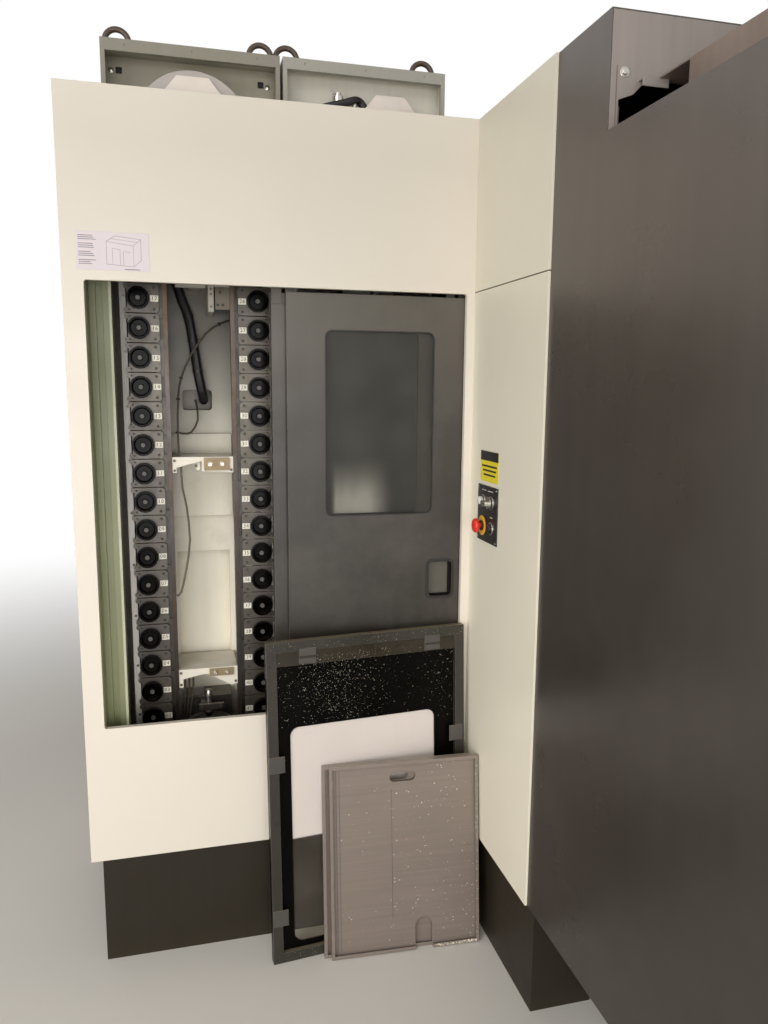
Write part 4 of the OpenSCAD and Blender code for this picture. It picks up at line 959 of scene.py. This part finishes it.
# Front panel label: grey bars and an outline drawing on a pale field

label = Piece("front_label", "machine_frame", "white_plastic")
label.box((37, -0.35, 1879), (210, 0, 1971), "label", 0.1)
random.seed(11)
for row in range(4):
    z = 1960 - row * 19.5
    for line in range(3):
        length = random.uniform(26, 44)
        label.box(
            (42, -0.42, z - line * 4.6), (42 + length, -0.3, z - line * 4.6 + 1.9), "grey_ink",
            0.02
        )


def stroke(a, b, thick):
    """A line of the drawing on the label."""
    d = Vector((b[0] - a[0], b[1] - a[1]))
    n = Vector((-d.y, d.x)).normalized() * thick / 2
    points = [
        (a[0] + n.x, -0.43, a[1] + n.y), (a[0] - n.x, -0.43, a[1] - n.y),
        (b[0] - n.x, -0.43, b[1] - n.y), (b[0] + n.x, -0.43, b[1] + n.y)
    ]
    label.add(points, [(0, 1, 2, 3)], "grey_ink")


OUTLINE = (
    (108, 1894), (108, 1948), (128, 1962), (190, 1956), (190, 1906), (172, 1890), (108, 1894)
)
INNER_LINES = (
    ((108, 1948), (172, 1940), (190, 1956)), ((172, 1940), (172, 1890)),
    ((122, 1896), (122, 1932), (140, 1930), (140, 1893)),
    ((148, 1892), (148, 1926), (164, 1924)), ((118, 1955), (182, 1949))
)
for path, thick in ((OUTLINE, 1.0), *((line, 0.8) for line in INNER_LINES)):
    for a, b in zip(path, path[1:]):
        stroke(a, b, thick)
label.box((150, -0.42, 1882), (186, -0.3, 1884.2), "grey_ink", 0.02)
label.make()

# Control station: coloured field with a black band, rings round the buttons

station = Piece("station_trim", "machine_frame", "black_plastic")
station.box((1078.2, -203, 1346), (1079, -77, 1429), "yellow", 0.2)
station.box((1078.0, -203, 1403), (1078.3, -77, 1429), "ink", 0.1)
for k in range(3):
    station.box(
        (1078.0, -193 + k * 5, 1386 - k * 12), (1078.3, -88 - k * 6, 1391 - k * 12), "ink", 0.1
    )
station.turned(
    (1074.0, -108, 1222.5), LEFT,
    ((15, 0), (27.6, 0), (27.6, 0.4), (26.8, 0.8), (15, 0.8), (15, 0)), "ring_yellow", 36,
    closed=True
)
for cy, cz in ((-108, 1292.5), (-168, 1292.5), (-168, 1222.5)):
    station.turned(
        (1075.9, cy, cz), LEFT,
        ((14.6, 0), (17.5, 0), (17.5, 2.2), (16.5, 3.2), (14.6, 3.2), (14.6, 0)), "steel", 32,
        closed=True
    )
for cy in (-75, -201):
    for cz in (1187, 1328):
        station.screw((1076.1, cy, cz), LEFT, 2.6, "steel", 1.2)
for cy, cz in ((-150, 1322), (-120, 1322), (-168, 1252), (-108, 1322), (-168, 1322)):
    station.box((1075.8, cy - 9, cz - 1.2), (1076.1, cy + 9, cz + 1.2), "white_lens", 0.1)
station.make()

# Roof covers: bolts, square clips

roof = Piece("roof_cover_fittings", "machine_frame", "black_iron")
for x0 in (100, 574):
    for k in range(3):
        roof.screw((x0 + 60 + k * 172, 183, 2474), FRONT, 2.2, "cover_grey", 1.4)
for cx, cz in ((140, 2449), (525, 2447)):
    roof.box((cx - 8, 296, cz - 8), (cx + 8, 301, cz + 8), "black_plastic", 1.0)
for cx, cz in ((119, 2449), (545, 2443)):
    roof.screw((cx, 301, cz), FRONT, 5, "steel", 4, True)
for cx, cz in ((723, 2428), (893, 2427), (603, 2385), (1018, 2382)):
    roof.screw((cx, 245, cz), FRONT, 4, "steel", 3.4, True)
roof.turned(
    (779, 212, 2314), UP, ((7, 0), (7, 84), (5.5, 86), (5.5, 96), (0, 96)), "steel", 14
)
roof.make()

# Height step of the enclosure: bolt with washer, inner bracket

step = Piece("step_fittings", "machine_frame", "bright_steel")
step.screw((1117, -678, 2201), FRONT, 7, "steel", 5, True)
step.box((1099.4, -678.6, 2096), (1101.2, -677.9, 2212), "duct", 0.2)
step.box((1112, -640, 2096), (1172, -560, 2102), "black_iron", 1.0)
step.box((1108, -675, 2096), (1111, -560, 2140), "duct", 1.0)
step.make()

# Leaning covers and the bright chips that lie on them, placed as the source places them

NEAR = 0.3  # clearance between pieces that lean on each other
OPENING_RIGHT = 1055
PANE_Y = 15  # depth of the pane in the framed cover
PAN_X, CORNER_IN = 641, 19  # the sheet covers and the corner that touches the pane
BAND_LOW, BAND_HIGH = 847, 887  # upper band of the framed cover
BAND_Y, SHEET_Y = 4.0, 12.0  # depths of that band and of the inner sheet
FRAME_W, FRAME_T, FRAME_H = 585.0, 25.0, 915.0
TILT, TURN = math.radians(3.25), math.radians(5.4)
reach = FRAME_T * math.cos(TILT) + FRAME_H * math.sin(TILT)
frame_x = OPENING_RIGHT + 1 - FRAME_W * math.cos(TURN) + reach * math.sin(TURN)
frame_y = -NEAR - FRAME_W * math.sin(TURN) - reach * math.cos(TURN)
frame_lift = FRAME_T * math.sin(TILT)
AT_FRAME = (Matrix.Translation((frame_x, frame_y, frame_lift)) @ Matrix.Rotation(TURN, 4, "Z")
            @ Matrix.Rotation(-TILT, 4, "X"))
PAN_W, PAN_H, PAN_RIM = 432.0, 552.0, 13.0
PAN_TILT, PAN_TURN = math.radians(5.8), math.radians(-3.0)
pan_back = 2 * PAN_RIM + 0.4
pan_lift = pan_back * math.sin(PAN_TILT)
pan_reach = pan_back * math.cos(PAN_TILT) + PAN_H * math.sin(PAN_TILT)
pan_top = pan_lift + PAN_H * math.cos(PAN_TILT) - pan_back * math.sin(PAN_TILT)
pan_corner = PAN_X - CORNER_IN * math.cos(PAN_TURN) - pan_reach * math.sin(PAN_TURN)
pan_y = (frame_y + (pan_corner - frame_x) * math.tan(TURN)
         + ((pan_top - frame_lift) * math.tan(TILT) + PANE_Y / math.cos(TILT)) / math.cos(TURN)
         - NEAR - pan_reach * math.cos(PAN_TURN) + CORNER_IN * math.sin(PAN_TURN))
AT_PAN = (Matrix.Translation((PAN_X, pan_y, pan_lift)) @ Matrix.Rotation(PAN_TURN, 4, "Z")
          @ Matrix.Rotation(-PAN_TILT, 4, "X"))


def cover_finish():
    """Framed cover: rim, band and black inner sheet told apart by depth, with bright dust."""
    g = Graph("cover_frame")
    local = g.node("ShaderNodeMapping", vector_type="TEXTURE")
    g.put(local.inputs["Vector"], g.coord)
    local.inputs["Location"].default_value = world((frame_x, frame_y, frame_lift))
    local.inputs["Rotation"].default_value = AT_FRAME.to_euler()
    split = g.node("ShaderNodeSeparateXYZ")
    g.put(split.inputs[0], local.outputs[0])
    depth, height = split.outputs[1], split.outputs[2]
    cloud = g.remap(g.noise(5.0, 5.0, 0.6), 0.3, 0.7, 0.88, 1.12)
    colour = g.mix(
        g.math("GREATER_THAN", depth, 0.0035), linear((51, 49, 43)), linear((42, 36, 24))
    )
    inner = g.math("GREATER_THAN", depth, 0.0105)
    colour = g.mix(inner, colour, linear((4, 4, 3)))
    colour = g.mix(g.math("LESS_THAN", depth, -0.0004), colour, linear((76, 74, 70)))
    colour = g.scaled(colour, cloud)
    for scale, size, share, top in ((420.0, 0.2, 0.1, 0.9), (230.0, 0.16, 0.08, 0.8)):
        fine = g.math(
            "MULTIPLY", g.specks(scale, size, share),
            g.math(
                "MULTIPLY", g.remap(height, 0.55, 0.75, 0.12, top),
                g.remap(g.noise(7.0), 0.4, 0.62)
            )
        )
        colour = g.mix(fine, colour, linear((196, 180, 140)))
    normal, mask = g.edges(0.0018)
    # Lighter edges: painted highlights along the rim, with some wear
    colour = g.mix(
        g.math("MULTIPLY", mask, g.remap(g.noise(30.0), 0.3, 0.6, 0.25, 0.9)), colour,
        linear((142, 138, 128))
    )
    layer = g.math("MULTIPLY", g.upward(), 0.7)
    colour = g.mix(layer, colour, linear((128, 116, 92)))
    rough = g.remap(g.noise(12.0), 0.3, 0.7, 0.24, 0.4)
    spec = g.remap(inner, 0.0, 1.0, 0.4, 0.07)
    return g.done(
        g.surface(colour, rough, 0.0, normal, spec=spec, bump=(g.noise(600.0), 0.12, BUMP_DEPTH))
    )


M["frame_dark"] = cover_finish()
nodes["cover_frame"].data.materials.clear()
nodes["cover_frame"].data.materials.append(M["frame_dark"])


def flake(piece, x, y, z, size):
    """One curled chip that lies on a face that looks along -y."""
    a = random.uniform(0, math.pi)
    w = size * random.uniform(0.3, 0.6)
    c, s = math.cos(a), math.sin(a)
    lift = random.uniform(0.15, 0.9)
    points = [
        (x + c * size, y - 0.15, z + s * size), (x - s * w, y - 0.15 - lift, z + c * w),
        (x - c * size, y - 0.15, z - s * size), (x + s * w, y - 0.15 - lift * 0.4, z - c * w)
    ]
    piece.add(points, [(0, 1, 2, 3)], "chips")


random.seed(23)
chips = Piece("cover_chips", "machine_frame", "bright_steel")
chips.at = AT_FRAME
for _ in range(3600):
    x = random.uniform(32, FRAME_W - 32)
    z = 640 + 230 * random.random() ** 0.75
    if random.random() < 0.12:
        z = random.uniform(40, 640)
    if 58 < x < 500 and z < 676:
        continue
    crowd = math.exp(-((x - 195) / 95) ** 2) + 0.3 * math.exp(-((x - 520) / 50) ** 2) + 0.08
    on_band = BAND_LOW < z < BAND_HIGH
    if on_band:
        crowd = math.exp(-((x - 260) / 120) ** 2)
    if random.random() > crowd:
        continue
    depth = BAND_Y if on_band else SHEET_Y
    flake(chips, x, depth, z, random.choice((0.4, 0.5, 0.7, 0.9, 1.4)))
for _ in range(160):
    flake(
        chips, random.uniform(6, FRAME_W - 6), 0.0,
        random.choice((random.uniform(889, 912), random.uniform(4, 26))),
        random.choice((0.6, 0.9, 1.2))
    )
chips.at = AT_PAN
for _ in range(520):
    x, z = random.uniform(12, PAN_W - 12), 11 + (PAN_H - 24) * random.random() ** 1.3
    over_grip, over_notch = 165 < x < 257 and z > 476, 238 < x < 300 and z < 92
    if random.random() > (0.9 if x > 170 else 0.25) or over_grip or over_notch:
        continue
    flake(chips, x, PAN_RIM - 2.0, z, random.choice((0.6, 0.8, 1.1, 1.6, 2.4)))
for _ in range(190):
    flake(
        chips, 424 - 120 * random.random() ** 1.5, 0.0, random.uniform(2, 9),
        random.choice((0.9, 1.3, 1.9, 2.6))
    )
for _ in range(70):
    flake(
        chips, random.uniform(424, 430), 0.0, random.uniform(10, 540),
        random.choice((0.8, 1.2, 1.8))
    )
chips.make()
# Dark lines painted along the folds of the sheet covers: painted shade of the creases
crease_shade = Piece("sheet_cover_creases", "machine_frame", "galvanised")
crease_shade.at = AT_PAN
crease_shade.box((177.6, 10.7, 96), (178.5, 11.0, 474), "cup_floor", 0.1)
for x in (19, 28):
    crease_shade.box((x, 10.6, 11), (x + 0.9, 11.0, PAN_H - 11), "cup_floor", 0.1)
crease_shade.make()

# Operator console: screen and keys

console = Piece("console_screen", "machine_frame", "black_plastic")
console.box((2512, -1835.5, 1478), (2848, -1834, 1653), "screen", 0.6)
for row in range(4):
    for col in range(11):
        x0, z0 = 2514 + col * 31, 1441 - row * 29
        console.box(
            (x0, -1838, z0), (x0 + 22, -1834, z0 + 19),
            "inner_cream" if (row + col) % 4 else "black_plastic", 1.2
        )
console.make()

# Light, floor and background

FADE = (2.2, 7.0)  # distances in metres over which the floor fades to white, for what is seen
ground = Graph("plain_floor")
floor_colour = ground.scaled(
    linear((216, 212, 205)), ground.remap(ground.noise(1.4), 0.3, 0.7, 0.985, 1.015)
)
far = ground.node("ShaderNodeVectorMath", operation="LENGTH")
ground.put(far.inputs[0], ground.coord)
fade = ground.remap(far.outputs["Value"], *FADE, smooth=True)
white = ground.node("ShaderNodeEmission")
floor_mat = ground.done(
    ground.blend(
        ground.math("MULTIPLY", fade, ground.seen()), ground.surface(floor_colour, 0.7, spec=0.2),
        white.outputs[0]
    )
)
mesh = bpy.data.meshes.new("floor")
mesh.from_pydata([(-14, -14, 0), (14, -14, 0), (14, 14, 0), (-14, 14, 0)], [], [(0, 1, 2, 3)])
mesh.materials.append(floor_mat)
floor = bpy.data.objects.new("floor", mesh)
scene.collection.objects.link(floor)


def area_light(name, at, target, size, energy, colour):
    lamp = bpy.data.lights.new(name, "AREA")
    lamp.shape = "RECTANGLE"
    lamp.size, lamp.size_y = size
    lamp.energy, lamp.color = energy, colour
    obj = bpy.data.objects.new(name, lamp)
    scene.collection.objects.link(obj)
    at = Vector(at)
    obj.location = at
    obj.rotation_mode = "QUATERNION"
    obj.rotation_quaternion = (Vector(target) - at).to_track_quat("-Z", "Y")


area_light("key", (-4.2, -3.6, 4.2), (-0.6, 0.2, 1.2), (3.2, 2.4), 100, (1, 0.98, 0.95))
area_light("front", (-1.6, -4.4, 1.3), (-1.1, 0.3, 1.0), (2.6, 2.0), 84, (1, 0.98, 0.97))
area_light("left", (-3.7, -2.3, 1.3), (-0.4, -0.7, 0.9), (2.2, 2.0), 48, (1, 0.98, 0.96))

sky = Graph("backdrop", bpy.data.worlds.new("backdrop"))
soft, plain = sky.node("ShaderNodeBackground"), sky.node("ShaderNodeBackground")
for background, colour, strength in (
    (soft, (1.0, 0.985, 0.96, 1), 0.36), (plain, (1, 1, 1, 1), 1.0)
):
    background.inputs["Color"].default_value = colour
    background.inputs["Strength"].default_value = strength
scene.world = sky.done(
    sky.blend(sky.seen(), soft.outputs[0], plain.outputs[0]), "ShaderNodeOutputWorld"
)
scene.view_settings.view_transform = "Standard"
